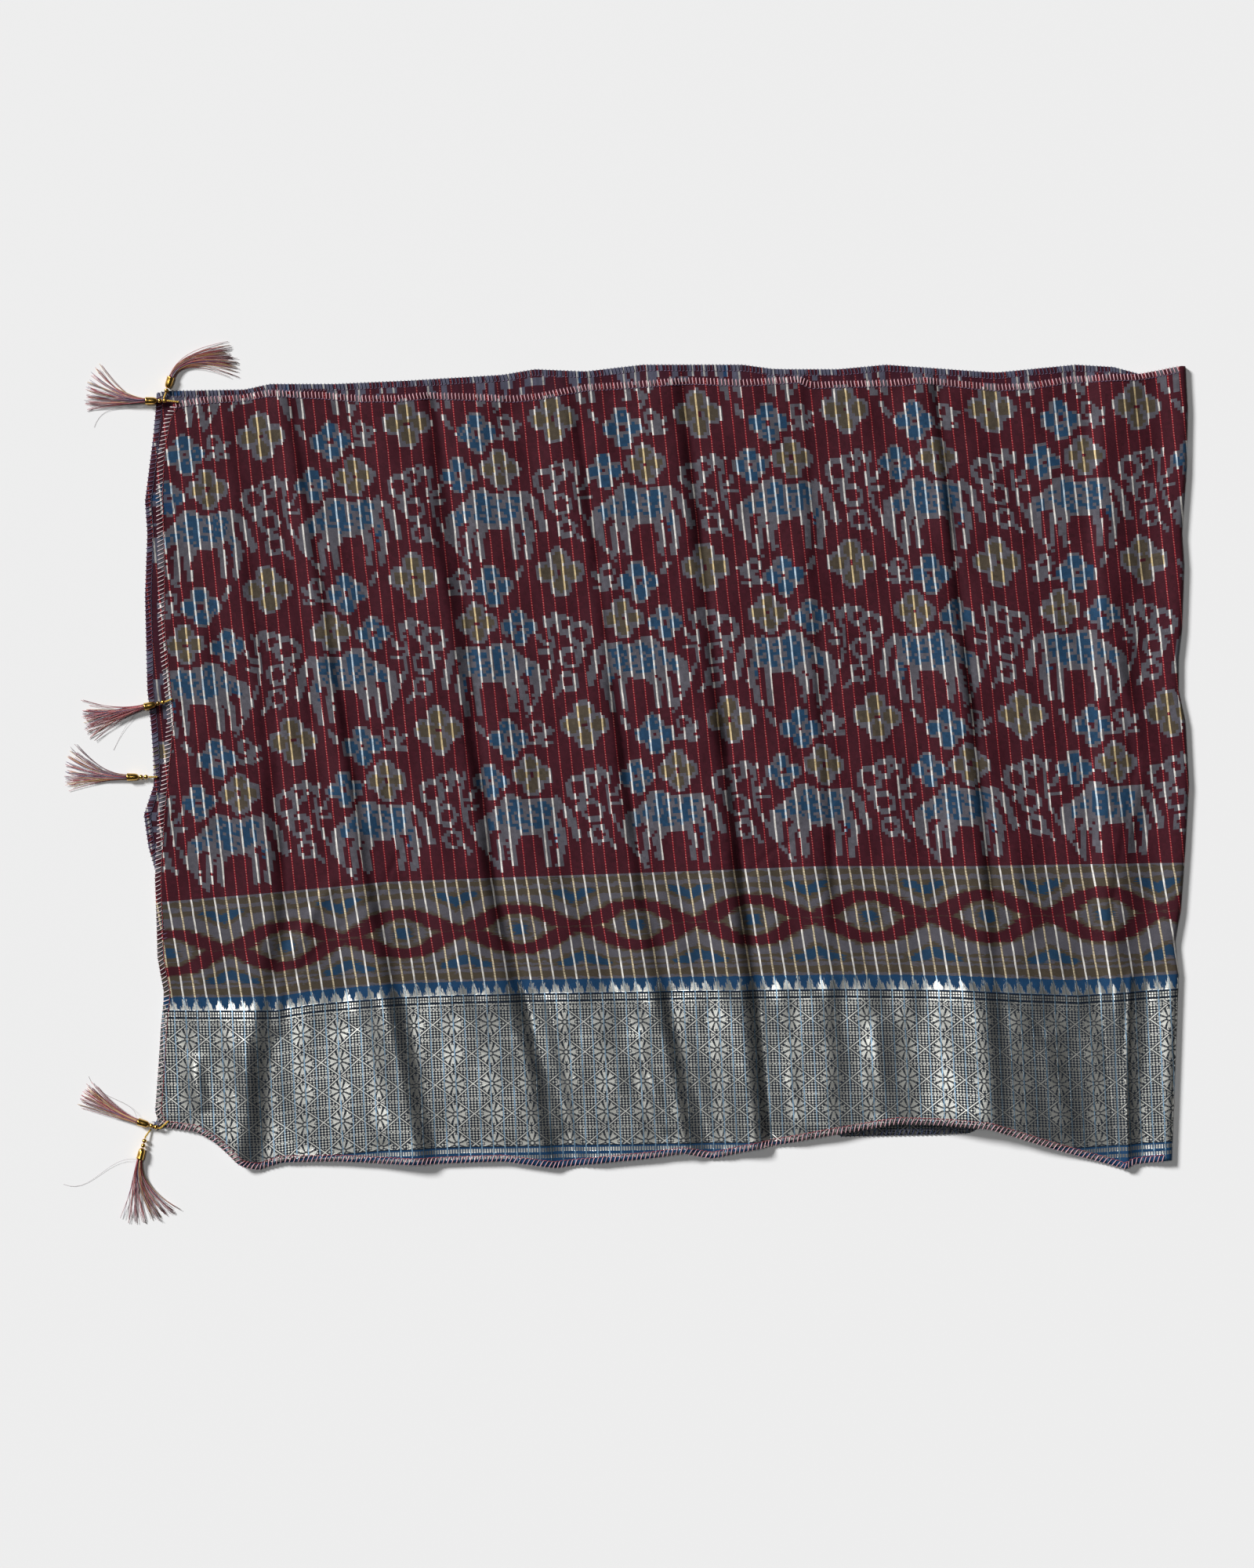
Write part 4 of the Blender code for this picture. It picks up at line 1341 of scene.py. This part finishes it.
def make_sheet(name, surface, cloth, silk, yarn, floor, material):
    """One closed sheet with its panel and bake maps and its colours."""
    columns, rows = surface.shape[0] - 1, surface.shape[1] - 1
    under = surface[::WIDE, ::WIDE].copy()
    under[..., 2] = np.maximum(lowest_nearby(surface[..., 2]) - SHEET_WALL, floor)
    points = np.vstack([surface.reshape(-1, 3), under.reshape(-1, 3)]) * MM
    places = np.vstack([cloth.reshape(-1, 2), cloth[::WIDE, ::WIDE].reshape(-1, 2)]) * MM
    mesh = bpy.data.meshes.new(name)
    mesh.from_pydata(points.tolist(), [], sheet_faces(columns, rows))
    mesh.update()
    panel = mesh.uv_layers.new(name="panel")
    panel.data.foreach_set("uv", corner_values(mesh, places).ravel())
    share_x = np.linspace(BAKE_MARGIN, 1 - BAKE_MARGIN, columns + 1)
    share_y = np.linspace(BAKE_MARGIN, BAKE_TOP_SHARE - 2 * BAKE_MARGIN, rows + 1)
    flat_top = np.stack(np.meshgrid(share_x, share_y, indexing="ij"), axis=-1)
    flat_under = flat_top[::WIDE, ::WIDE].copy()
    flat_under[..., 1] = BAKE_TOP_SHARE + flat_under[..., 1] * (1 - BAKE_TOP_SHARE)
    flat = np.vstack([flat_top.reshape(-1, 2), flat_under.reshape(-1, 2)])
    bake = mesh.uv_layers.new(name="OFBake")
    bake.data.foreach_set("uv", corner_values(mesh, flat).ravel())
    fine = columns * rows
    for label, colours in (("silk", silk), ("yarn", yarn)):
        layer = mesh.color_attributes.new(label, "FLOAT_COLOR", "CORNER")
        spread = np.tile(np.append(colours.mean(axis=(0, 1)), 1.0), (len(mesh.loops), 1))
        rgba = np.concatenate([colours.reshape(-1, 3), np.ones((fine, 1))], axis=1)
        spread[:fine * 4] = np.repeat(rgba, 4, axis=0)
        layer.data.foreach_set("color", spread.ravel())
    mesh.materials.append(material)
    mesh.shade_smooth()
    sheet = bpy.data.objects.new(name, mesh)
    bpy.context.scene.collection.objects.link(sheet)
    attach(sheet, "root")
    print(name, "has", len(mesh.polygons), "faces")
    return sheet


print("a sheet's wall: %.2f mm" % SHEET_WALL)

# %% [markdown]
# The two halves
#
# The upper half shows its right side. The lower half shows its wrong side past the upper
# one's hems, where the print is duller and the metallic yarns lie behind the silk. Each sheet
# stands for the plain solid that it lies on.

# %% The two halves of the stole
SHOWS_AT_FLOOR = 0.15
upper_half = make_sheet("upper_half", UPPER, UPPER_CLOTH, UPPER_SILK, UPPER_YARN,
                        SHOWS_AT_FLOOR, silk_face)
lower_half = make_sheet("lower_half", LOWER, LOWER_CLOTH, LOWER_SILK, LOWER_YARN,
                        SHOWS_AT_FLOOR, silk_reverse)
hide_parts("front_half")
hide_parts("back_half")

# %% [markdown]
# Threads
#
# Stitches and tassels are all threads, so one builder makes them: it takes many paths with
# the same number of points and returns a single mesh of thin tubes. Each thread keeps its own
# colour in an attribute, which saves a material for every shade.


# %% Thread builder
def thread_rings(paths, radii, sides):
    """Rings of points round each path point: threads by points by sides by x, y, z."""
    tangents = np.gradient(paths, axis=1)
    tangents /= np.linalg.norm(tangents, axis=2, keepdims=True) + 1e-12
    upward = np.zeros_like(tangents)
    upward[..., 2] = 1.0
    steep = np.abs(tangents[..., 2]) > 0.95
    upward[steep] = (1.0, 0.0, 0.0)
    beside = np.cross(tangents, upward)
    beside /= np.linalg.norm(beside, axis=2, keepdims=True) + 1e-12
    over = np.cross(beside, tangents)
    turns = np.arange(sides) * 2 * np.pi / sides
    ring = (np.cos(turns)[None, None, :, None] * beside[:, :, None, :]
            + np.sin(turns)[None, None, :, None] * over[:, :, None, :])
    return paths[:, :, None, :] + ring * radii[:, :, None, None]


def make_threads(name, paths, radius, colours, material, sides=4):
    """One mesh of many threads, each closed at both ends."""
    paths = np.asarray(paths, dtype=float)
    count, length = paths.shape[:2]
    radii = np.broadcast_to(np.asarray(radius, dtype=float), (count, length))
    points = thread_rings(paths, radii, sides).reshape(-1, 3) * MM
    faces = []
    for thread in range(count):
        first = thread * length * sides
        for step in range(length - 1):
            ring = first + step * sides
            for side in range(sides):
                following = (side + 1) % sides
                faces.append((ring + side, ring + sides + side, ring + sides + following,
                              ring + following))
        last = first + (length - 1) * sides
        faces.append(tuple(first + side for side in range(sides)))
        faces.append(tuple(last + side for side in reversed(range(sides))))
    mesh = bpy.data.meshes.new(name)
    mesh.from_pydata(points.tolist(), [], faces)
    layer = mesh.color_attributes.new("thread", "FLOAT_COLOR", "POINT")
    rgba = np.concatenate([np.asarray(colours), np.ones((count, 1))], axis=1)
    layer.data.foreach_set("color", np.repeat(rgba, length * sides, axis=0).ravel())
    mesh.materials.append(material)
    mesh.shade_smooth()
    made = bpy.data.objects.new(name, mesh)
    bpy.context.scene.collection.objects.link(made)
    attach(made, "root")
    return made


def thread_material(name, roughness, sheen):
    """Twisted thread in its own stored colour."""
    material, tree, shader = new_material(name)
    place = tree.nodes.new("ShaderNodeTexCoord")
    twist = noise(tree, place.outputs["Object"], scale=1500.0, detail=1.0, roughness=0.5)
    colour = scaled(tree, attribute(tree, "thread"), twist * 0.8 + 0.6)
    tree.links.new(colour, shader.inputs["Base Color"])
    shader.inputs["Roughness"].default_value = roughness
    shader.inputs["Sheen Weight"].default_value = sheen
    bump(tree, shader, twist, distance=0.0002, strength=0.5)
    return material


overlock_thread = thread_material("overlock_thread", roughness=0.6, sheen=0.3)
print("thread material:", overlock_thread.name)

# %% [markdown]
# The overlock
#
# All the raw edges are overlocked. A needle thread runs a few millimetres inside the edge,
# and slanting loops of pale thread wrap from it over the edge, one every 4 mm. Along the top
# hem the loops are rounder and closer. The lower half's edge is sewn in dark thread. Drawn
# on the cloth they would look flat from the side, so every loop is a thin tube.

# %% Stitches along the hems
OVERLOCK_WIDTH = 5.2
STITCH_RADIUS = 0.42
STITCH_INSIDE = 3
TURN_COLUMNS = 10
NEEDLE_HALF = 0.36
NEEDLE_RISE = 0.30
NEEDLE_THREAD = 0.62
WRAP = [
    # share of the width in from the edge, share of the slant, height above the face
    (1.0, 1.0, 0.05), (0.75, 0.7, 0.35), (0.35, 0.3, 0.42), (0.0, 0.0, 0.30),
    (-0.1, -0.05, -0.25), (0.0, -0.1, -0.75),
]
PALE = screen_colour(206, 190, 192)
PINK = screen_colour(196, 150, 158)
RED = screen_colour(150, 34, 46)
NAVY = screen_colour(38, 44, 78)
PLUM = screen_colour(88, 62, 96)


def edge_samples(edge, inner, pitch):
    """Evenly spaced points on an edge, with the way along it and the way into the cloth."""
    legs = np.linalg.norm(np.diff(edge, axis=0), axis=1)
    reach = np.concatenate([[0.0], np.cumsum(legs)])
    count = int(reach[-1] / pitch)
    spots = (np.arange(count) + 0.5) * pitch
    place = np.stack([np.interp(spots, reach, edge[:, axis]) for axis in range(3)], axis=1)
    deeper = np.stack([np.interp(spots, reach, inner[:, axis]) for axis in range(3)], axis=1)
    onward = np.gradient(place, axis=0)
    onward /= np.linalg.norm(onward, axis=1, keepdims=True)
    inward = deeper - place
    inward -= onward * np.sum(inward * onward, axis=1, keepdims=True)
    inward /= np.linalg.norm(inward, axis=1, keepdims=True)
    return place, onward, inward


def wrap_paths(place, onward, inward, slant):
    """Paths that start on the needle line, cross to the edge and turn under it."""
    up = np.array([0.0, 0.0, 1.0])
    paths = []
    for share, lean, lift in WRAP:
        paths.append(place + inward * share * OVERLOCK_WIDTH + onward * lean * slant + up * lift)
    return np.stack(paths, axis=1)


def uneven(colour, count, spread):
    """One shade of the colour for each thread."""
    tone = rng.normal(1.0, spread, count)[:, None]
    return np.clip(np.array(colour)[None, :] * tone, 0, 1)


print("points along one wrap:", len(WRAP))

# %% [markdown]
# Six hems
#
# The sheets' own edges give the path of each seam, so the stitches follow every bend and
# rise of the hem. The fold needs no seam, so the top and bottom hems stop short of it. The
# table says how each hem is sewn.

# %% Sewing the hems
HEMS = [
    # name, surface, which edge, pitch, slant, wrap colour, needle colour, thread radius
    ("upper_left_overlock", UPPER, "left", 3.9, 2.4, PALE, RED, STITCH_RADIUS),
    ("upper_bottom_overlock", UPPER, "bottom", 3.9, 2.4, PINK, RED, STITCH_RADIUS),
    ("upper_top_overlock", UPPER, "top", 3.2, 0.9, PINK, PLUM, 0.5),
    ("lower_left_overlock", LOWER, "left", 3.9, 2.0, PLUM, NAVY, STITCH_RADIUS),
    ("lower_bottom_overlock", LOWER, "bottom", 3.9, 2.0, NAVY, NAVY, STITCH_RADIUS),
    ("lower_top_overlock", LOWER, "top", 3.2, 0.9, NAVY, PLUM, STITCH_RADIUS),
]


def hem_edge(surface, which):
    """The points of a hem and those of the row where its needle line runs."""
    if which == "left":
        return surface[0], surface[STITCH_INSIDE]
    seam = surface[:-TURN_COLUMNS]
    if which == "bottom":
        return seam[:, 0], seam[:, STITCH_INSIDE]
    return seam[:, -1], seam[:, -1 - STITCH_INSIDE]


def sew_hem(name, surface, which, pitch, slant, colour, needle_colour, radius):
    """Wrap one hem with loops and run its needle thread beside them."""
    edge, inner = hem_edge(surface, which)
    place, onward, inward = edge_samples(edge, inner, pitch)
    wraps = wrap_paths(place, onward, inward, slant)
    wraps[..., 2] = np.maximum(wraps[..., 2], radius + 0.05)
    sewn = make_threads(name, wraps, radius, uneven(colour, len(wraps), 0.16), overlock_thread)
    needle = place + inward * (OVERLOCK_WIDTH + 0.2)
    half = onward * pitch * NEEDLE_HALF
    rise = np.array([0.0, 0.0, NEEDLE_RISE])
    stitches = np.stack([needle - half, needle - half * 0.4 + rise, needle + half * 0.4 + rise,
                         needle + half], axis=1)
    line = make_threads(name + "_needle", stitches, radius * NEEDLE_THREAD,
                        uneven(needle_colour, len(stitches), 0.2), overlock_thread)
    return [sewn, line]


for hem in HEMS:
    sew_hem(*hem)

# %% [markdown]
# What the sheets are
#
# Both halves are one panel of 0.70 by 1.82 m, so each stands for half of its length.


# %% [markdown]
# The tassels
#
# A tassel is strung on one thread: a loop of yellow thread, small gold beads, a gold cap, and
# a skirt of silk threads that comes out of the cap. One table says where each chain starts,
# which way its cap points and how its skirt fans out, so every piece sits where its solid
# sits.

# %% Tassel places, in millimetres
BEAD_RADIUS = 2.0
BEAD_SPACING = 4.3
CAP_LENGTH = 10.0
SEAT_GAP = 0.3
TASSELS = [
    dict(name="front_top", loop=(-432, 322, 4.3), start=(-442.1, 323), axis=5.0, beads=2,
         heading=180, skirt=168, spread=24, length=55),
    dict(name="back_top", loop=(-445.4, 325.3, 2.4), start=(-443.6, 329.9), axis=3.6, beads=1,
         heading=72, skirt=17, spread=15, length=60),
    dict(name="front_middle", loop=(-438, 61, 4.3), start=(-443.7, 58.6), axis=5.0, beads=2,
         heading=194, skirt=194, spread=18, length=57),
    dict(name="back_middle", loop=(-451, -7.6, 2.4), start=(-458.6, -7.6), axis=3.6, beads=2,
         heading=180, skirt=168, spread=23, length=56),
    dict(name="front_bottom", loop=(-441, -310, 4.3), start=(-449.7, -316), axis=5.0, beads=2,
         heading=163, skirt=152, spread=14, length=56),
    dict(name="back_bottom", loop=(-457.0, -317.5, 1.3), start=(-461.8, -325.3), axis=3.6,
         beads=2, heading=256, skirt=281, spread=25, length=58),
]


def direction(degrees):
    """A level unit vector, or one for each of many angles."""
    turn = np.radians(degrees)
    return np.stack([np.cos(turn), np.sin(turn), np.zeros_like(turn)], axis=-1)


print("beads in all:", sum(tassel["beads"] for tassel in TASSELS))

# %% [markdown]
# Gold
#
# The caps and beads are thin brass-coloured metal with a high polish, a little worn. A metal
# has no colour but that of its reflection, so the base colour does all the work here, and a
# noise makes some places duller than others.


# %% Polished gold
def gold_material():
    """Polished brass with duller places."""
    material, tree, shader = new_material("polished_gold")
    place = tree.nodes.new("ShaderNodeTexCoord")
    worn = noise(tree, place.outputs["Object"], scale=900.0, detail=3.0, roughness=0.6)
    colour = mixed(tree, worn, screen_colour(226, 186, 104), screen_colour(196, 148, 62))
    tree.links.new(colour, shader.inputs["Base Color"])
    shader.inputs["Metallic"].default_value = 1.0
    rough = worn * 0.2 + 0.14
    tree.links.new(rough.socket, shader.inputs["Roughness"])
    bump(tree, shader, worn, distance=0.0001, strength=0.2)
    return material


gold = gold_material()
print("gold material:", gold.name)

# %% [markdown]
# Caps and beads
#
# Both are turned shapes, so each is a half section that is spun round the chain's own line.
# A screw modifier would spin it too, but the points are so few that code can place them
# where they belong. The cap has a rolled lip at its mouth and is hollow, so the threads can
# be seen to come out of it.

# %% Gold caps and beads
CAP_PROFILE = [
    # radius, distance from the thread hole
    (0.5, 0.2), (1.3, 0.0), (1.55, 0.25), (1.9, 0.55), (2.5, 1.2), (2.85, 2.2), (3.05, 3.4),
    (3.15, 6.0), (3.2, 8.6), (3.32, 9.2), (3.32, 9.75), (3.2, 10.0), (2.9, 10.0),
    (2.75, 9.4), (2.6, 7.0), (0.4, 6.6),
]
BEAD_PROFILE_STEPS = 12
BEAD_HOLE = 0.06
BEAD_FLATTENED = 0.96
TURN_SIDES = 32
SHARP_ANGLE = 50


def chain_matrix(place, heading):
    """Set a piece's own +Z along the heading and its +Y up."""
    forward = Vector(direction(heading))
    upward = Vector((0, 0, 1))
    right = upward.cross(forward)
    turn = Matrix((right, upward, forward)).transposed()
    if turn.determinant() < 0:
        turn = Matrix((-right, upward, forward)).transposed()
    return Matrix.Translation(Vector(place) * MM) @ turn.to_4x4()


def turned(name, profile, matrix):
    """Spin a half section round the chain's own line into one closed mesh."""
    mesh = bmesh.new()
    rings = []
    for radius, distance in profile:
        ring = []
        for side in range(TURN_SIDES):
            turn = 2 * math.pi * side / TURN_SIDES
            ring.append(mesh.verts.new((radius * math.cos(turn) * MM,
                                        radius * math.sin(turn) * MM, distance * MM)))
        rings.append(ring)
    for ring, following in zip(rings, rings[1:]):
        for side in range(TURN_SIDES):
            nearby = (side + 1) % TURN_SIDES
            mesh.faces.new((ring[side], ring[nearby], following[nearby], following[side]))
    mesh.faces.new(rings[0])
    mesh.faces.new(rings[-1])
    bmesh.ops.recalc_face_normals(mesh, faces=mesh.faces)
    bmesh.ops.transform(mesh, matrix=matrix, verts=mesh.verts)
    data = bpy.data.meshes.new(name)
    mesh.to_mesh(data)
    mesh.free()
    data.materials.append(gold)
    data.shade_smooth()
    data.set_sharp_from_angle(angle=math.radians(SHARP_ANGLE))
    made = bpy.data.objects.new(name, data)
    bpy.context.scene.collection.objects.link(made)
    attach(made, "root")
    return made


def bead_profile(count):
    """Round beads strung tight, each a little flattened where the thread goes in."""
    steps = np.linspace(BEAD_HOLE * np.pi, (1 - BEAD_HOLE) * np.pi, BEAD_PROFILE_STEPS)
    half_length = BEAD_RADIUS * BEAD_FLATTENED
    profile = []
    for number in range(count):
        centre = BEAD_RADIUS + number * BEAD_SPACING
        for turn in steps:
            profile.append((BEAD_RADIUS * math.sin(turn), centre - half_length * math.cos(turn)))
    return profile


print("points in a cap's half section:", len(CAP_PROFILE))

# %% [markdown]
# Skirts of thread
#
# The threads leave the cap in a bundle and fan out on the table, in a few loose clumps.
# Blender's hair would draw them quickly, but it is no mesh, and tubes can be exported.
# Each one is a curve with three guides: its root inside the cap, a knee where it starts to
# droop, and its tip on the table. Random draws with a fixed seed make them uneven in the same
# way each time.

# %% Skirts of thread
SKIRT_COLOURS = [
    # share of the threads, colour
    (0.30, screen_colour(150, 40, 52)),
    (0.16, screen_colour(104, 26, 42)),
    (0.16, screen_colour(186, 110, 112)),
    (0.14, screen_colour(188, 150, 92)),
    (0.14, screen_colour(128, 118, 124)),
    (0.10, screen_colour(92, 70, 110)),
]
SKIRT_THREADS = 64
THREAD_POINTS = 11
BUNDLE_RADIUS = 2.3
ROOT_DEPTH = 2.0
CLUMPS = 3.5
CLUMPED = 0.55
SHORTEST = 0.86
KNEE_SHARE = 0.40
TIP_HEIGHTS = (0.4, 2.0)
SWAY = 1.6
LOWEST_THREAD = 0.3
tassel_thread = thread_material("tassel_thread", roughness=0.42, sheen=0.4)


def skirt_colours(count):
    """A colour for each thread, drawn by its share in the skirt."""
    shares, colours = zip(*SKIRT_COLOURS)
    chosen = rng.choice(len(colours), size=count, p=np.array(shares) / sum(shares))
    picked = np.array(colours)[chosen]
    return picked * rng.uniform(0.75, 1.2, (count, 1))


def skirt_paths(mouth, tassel):
    """Threads that leave the cap's mouth, bend to their own way and come down to the table."""
    count = SKIRT_THREADS
    forward = direction(tassel["heading"])
    leftward = np.cross([0, 0, 1.0], forward)
    radius = BUNDLE_RADIUS * np.sqrt(rng.random(count))
    turn = rng.uniform(0, 2 * np.pi, count)
    aside = radius * np.cos(turn)
    lift = radius * np.sin(turn)
    order = np.clip(aside / BUNDLE_RADIUS + rng.normal(0, 0.22, count), -1.05, 1.05)
    clumps = np.round(order * CLUMPS) / CLUMPS
    order = (1 - CLUMPED) * order + CLUMPED * clumps
    aim = direction(tassel["skirt"] + order * tassel["spread"])
    length = tassel["length"] * rng.uniform(SHORTEST, 1.0, count)
    upward = np.array([0, 0, 1.0])
    root = mouth - forward * ROOT_DEPTH + leftward * aside[:, None] + upward * lift[:, None]
    tip = mouth + aim * length[:, None]
    tip[:, 2] = TIP_HEIGHTS[0] + (TIP_HEIGHTS[1] - TIP_HEIGHTS[0]) * rng.random(count)
    knee = mouth + forward * KNEE_SHARE * length[:, None] + leftward * (aside * 0.7)[:, None]
    knee[:, 2] = 0.5 * (mouth[2] + lift) + 0.8
    share = np.linspace(0, 1, THREAD_POINTS)[None, :, None]
    bezier = ((1 - share) ** 2 * root[:, None, :] + 2 * share * (1 - share) * knee[:, None, :]
              + share ** 2 * tip[:, None, :])
    swing = rng.normal(0, 1.0, (count, 1))
    waves = rng.uniform(1.0, 2.2, (count, 1))
    sway = swing * np.sin(share[..., 0] * np.pi * waves)
    bezier += leftward * (sway * share[..., 0] * SWAY)[..., None]
    bezier[..., 2] = np.maximum(bezier[..., 2], LOWEST_THREAD)
    return bezier


print("threads in a skirt:", SKIRT_THREADS)

# %% [markdown]
# Stray threads and stringing
#
# One thin thread of each tassel lies apart from its skirt. Then each tassel is strung: every
# finished piece is put where its plain solid is, and takes its place.

# %% Stringing the tassels
STRAY_RADIUS = 0.12
STRAY_POINTS = 14
THREAD_RADII = (0.34, 0.20)
STRAYS = {
    # tassel: its stray threads, each as four points on the table
    "front_top": [((-462, 324, 4.5), (-480, 318, 2.0), (-496, 314, 0.5), (-507, 300, 0.3))],
    "back_top": [((-439, 345, 3.5), (-430, 358, 2.0), (-412, 368, 0.8), (-394, 374, 0.3))],
    "front_middle": [((-463, 53, 4.5), (-474, 44, 2.0), (-483, 30, 0.6), (-490, 16, 0.3))],
    "back_middle": [((-479, -8, 3.0), (-494, -2, 1.2), (-512, 6, 0.6), (-528, 19, 0.3))],
    "front_bottom": [((-469, -310, 4.5), (-478, -296, 2.0), (-497, -287, 0.6), (-512, -271, 0.3))],
    "back_bottom": [((-469, -344, 3.5), (-492, -350, 1.2), (-512, -364, 0.5), (-534, -366, 0.3))],
}
STRAY_COLOUR = screen_colour(120, 100, 104)


def smooth_path(points, count):
    """A curve through four given points."""
    points = np.array(points, dtype=float)
    knots = np.arange(len(points))
    spots = np.linspace(0, len(points) - 1, count)
    return np.stack([np.polyval(np.polyfit(knots, points[:, axis], 3), spots)
                     for axis in range(3)], axis=1)


def string_tassel(tassel):
    """Replace each piece of one tassel's solid with its finished form."""
    name = tassel["name"] + "_tassel"
    forward = direction(tassel["heading"])
    start = np.array([*tassel["start"], tassel["axis"]])
    first = start + forward * SEAT_GAP
    beads = turned(name + "_beads_gold", bead_profile(tassel["beads"]),
                   chain_matrix(first, tassel["heading"]))
    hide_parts(name + "_beads")
    strung = 2 * BEAD_RADIUS + (tassel["beads"] - 1) * BEAD_SPACING
    place = first + forward * (strung + SEAT_GAP)
    cap = turned(name + "_cap_gold", CAP_PROFILE, chain_matrix(place, tassel["heading"]))
    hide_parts(name + "_cap")
    mouth = place + forward * CAP_LENGTH
    paths = skirt_paths(mouth, tassel)
    radii = np.linspace(*THREAD_RADII, THREAD_POINTS)[None, :]
    skirt = make_threads(name + "_skirt", paths, radii, skirt_colours(len(paths)),
                         tassel_thread, sides=3)
    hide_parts(name + "_strands")
    strays = [smooth_path(points, STRAY_POINTS) for points in STRAYS[tassel["name"]]]
    stray = make_threads(name + "_stray", strays, STRAY_RADIUS, [STRAY_COLOUR] * len(strays),
                         tassel_thread, sides=3)


for tassel in TASSELS:
    string_tassel(tassel)
print("tassels strung:", len(TASSELS))

# %% [markdown]
# The thread loops
#
# Yellow thread holds each tassel to the hem. A single tube would look like wire. Two plies
# wound round each other read as thread even when they are only a few millimetres long.

# %% Yellow loops
LOOP_YELLOW = screen_colour(206, 168, 62)
LOOP_STRAIGHT = 1.5
PLY_TURNS = 3.0
PLY_OFFSET = 0.42
PLY_RADIUS = 0.45
PLY_POINTS = 26


def ply_paths(points, offset, count):
    """Two strands wound round the line through the points."""
    points = np.array(points, dtype=float)
    legs = np.linalg.norm(np.diff(points, axis=0), axis=1)
    reach = np.concatenate([[0.0], np.cumsum(legs)])
    spots = np.linspace(0, reach[-1], count)
    line = np.stack([np.interp(spots, reach, points[:, axis]) for axis in range(3)], axis=1)
    onward = np.gradient(line, axis=0)
    onward /= np.linalg.norm(onward, axis=1, keepdims=True)
    beside = np.cross(onward, [0, 0, 1.0])
    beside /= np.linalg.norm(beside, axis=1, keepdims=True)
    over = np.cross(beside, onward)
    paths = []
    for phase in (0.0, np.pi):
        turn = np.linspace(0, PLY_TURNS * 2 * np.pi, count) + phase
        wound = np.cos(turn)[:, None] * beside + np.sin(turn)[:, None] * over
        paths.append(line + offset * wound)
    return np.stack(paths)


def tie_loop(tassel):
    """Two yellow plies from the hem to the first bead."""
    name = tassel["name"] + "_tassel_loop"
    forward = direction(tassel["heading"])
    start = np.array([*tassel["start"], tassel["axis"]])
    points = [np.array(tassel["loop"], dtype=float), start - forward * LOOP_STRAIGHT, start]
    paths = ply_paths(points, PLY_OFFSET, PLY_POINTS)
    loop = make_threads(name + "_plies", paths, PLY_RADIUS, uneven(LOOP_YELLOW, 2, 0.1),
                        overlock_thread, sides=6)
    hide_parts(name)


for tassel in TASSELS:
    tie_loop(tassel)
print("loops tied")

# %% [markdown]
# Table and light
#
# The photograph has a pale, even ground and a soft shadow at the lower right, so the main
# light comes in low from the upper left, as through a tall window. A weak skylight almost
# overhead puts a gleam on the silver of the border, and the room itself is nearly dark, so
# the hollows of the folds stay deep. Sun lamps stand for both, since their light falls
# alike on the whole stole.

# %% Table and light
TABLE_COLOUR = screen_colour(238, 238, 238)
TABLE_HALF = 4.0
WINDOWS = [
    # name, the way towards it, strength, apparent width in degrees
    ("tall_window", (-1.0, 0.75, 0.85), 4.34, 14),
    ("skylight", (-0.21, 0.12, 0.97), 0.6, 13),
]
ROOM_LIGHT = 0.03


def lay_table():
    """A pale table top that carries the stole and isn't part of it."""
    mesh = bmesh.new()
    bmesh.ops.create_grid(mesh, x_segments=2, y_segments=2, size=TABLE_HALF)
    data = bpy.data.meshes.new("table_top")
    mesh.to_mesh(data)
    mesh.free()
    material, tree, shader = new_material("pale_table")
    shader.inputs["Base Color"].default_value = (*TABLE_COLOUR, 1.0)
    shader.inputs["Roughness"].default_value = 0.9
    data.materials.append(material)
    table = bpy.data.objects.new("table_top", data)
    bpy.context.scene.collection.objects.link(table)


def window(name, towards, energy, width):
    """A sun lamp stands for a window so far off that its light comes from one side only."""
    data = bpy.data.lights.new(name, "SUN")
    data.energy = energy
    data.angle = math.radians(width)
    lamp = bpy.data.objects.new(name, data)
    lamp.rotation_euler = (-Vector(towards)).to_track_quat("-Z", "Y").to_euler()
    bpy.context.scene.collection.objects.link(lamp)


def light_room():
    """Two lamps, a faint room light, and plain screen colours."""
    for row in WINDOWS:
        window(*row)
    world = bpy.data.worlds.new("room")
    world.use_nodes = True
    background = world.node_tree.nodes["Background"]
    background.inputs["Color"].default_value = (1.0, 1.0, 1.0, 1.0)
    background.inputs["Strength"].default_value = ROOM_LIGHT
    bpy.context.scene.world = world
    bpy.context.scene.view_settings.view_transform = "Standard"


lay_table()
light_room()
print("lamps:", len(WINDOWS))
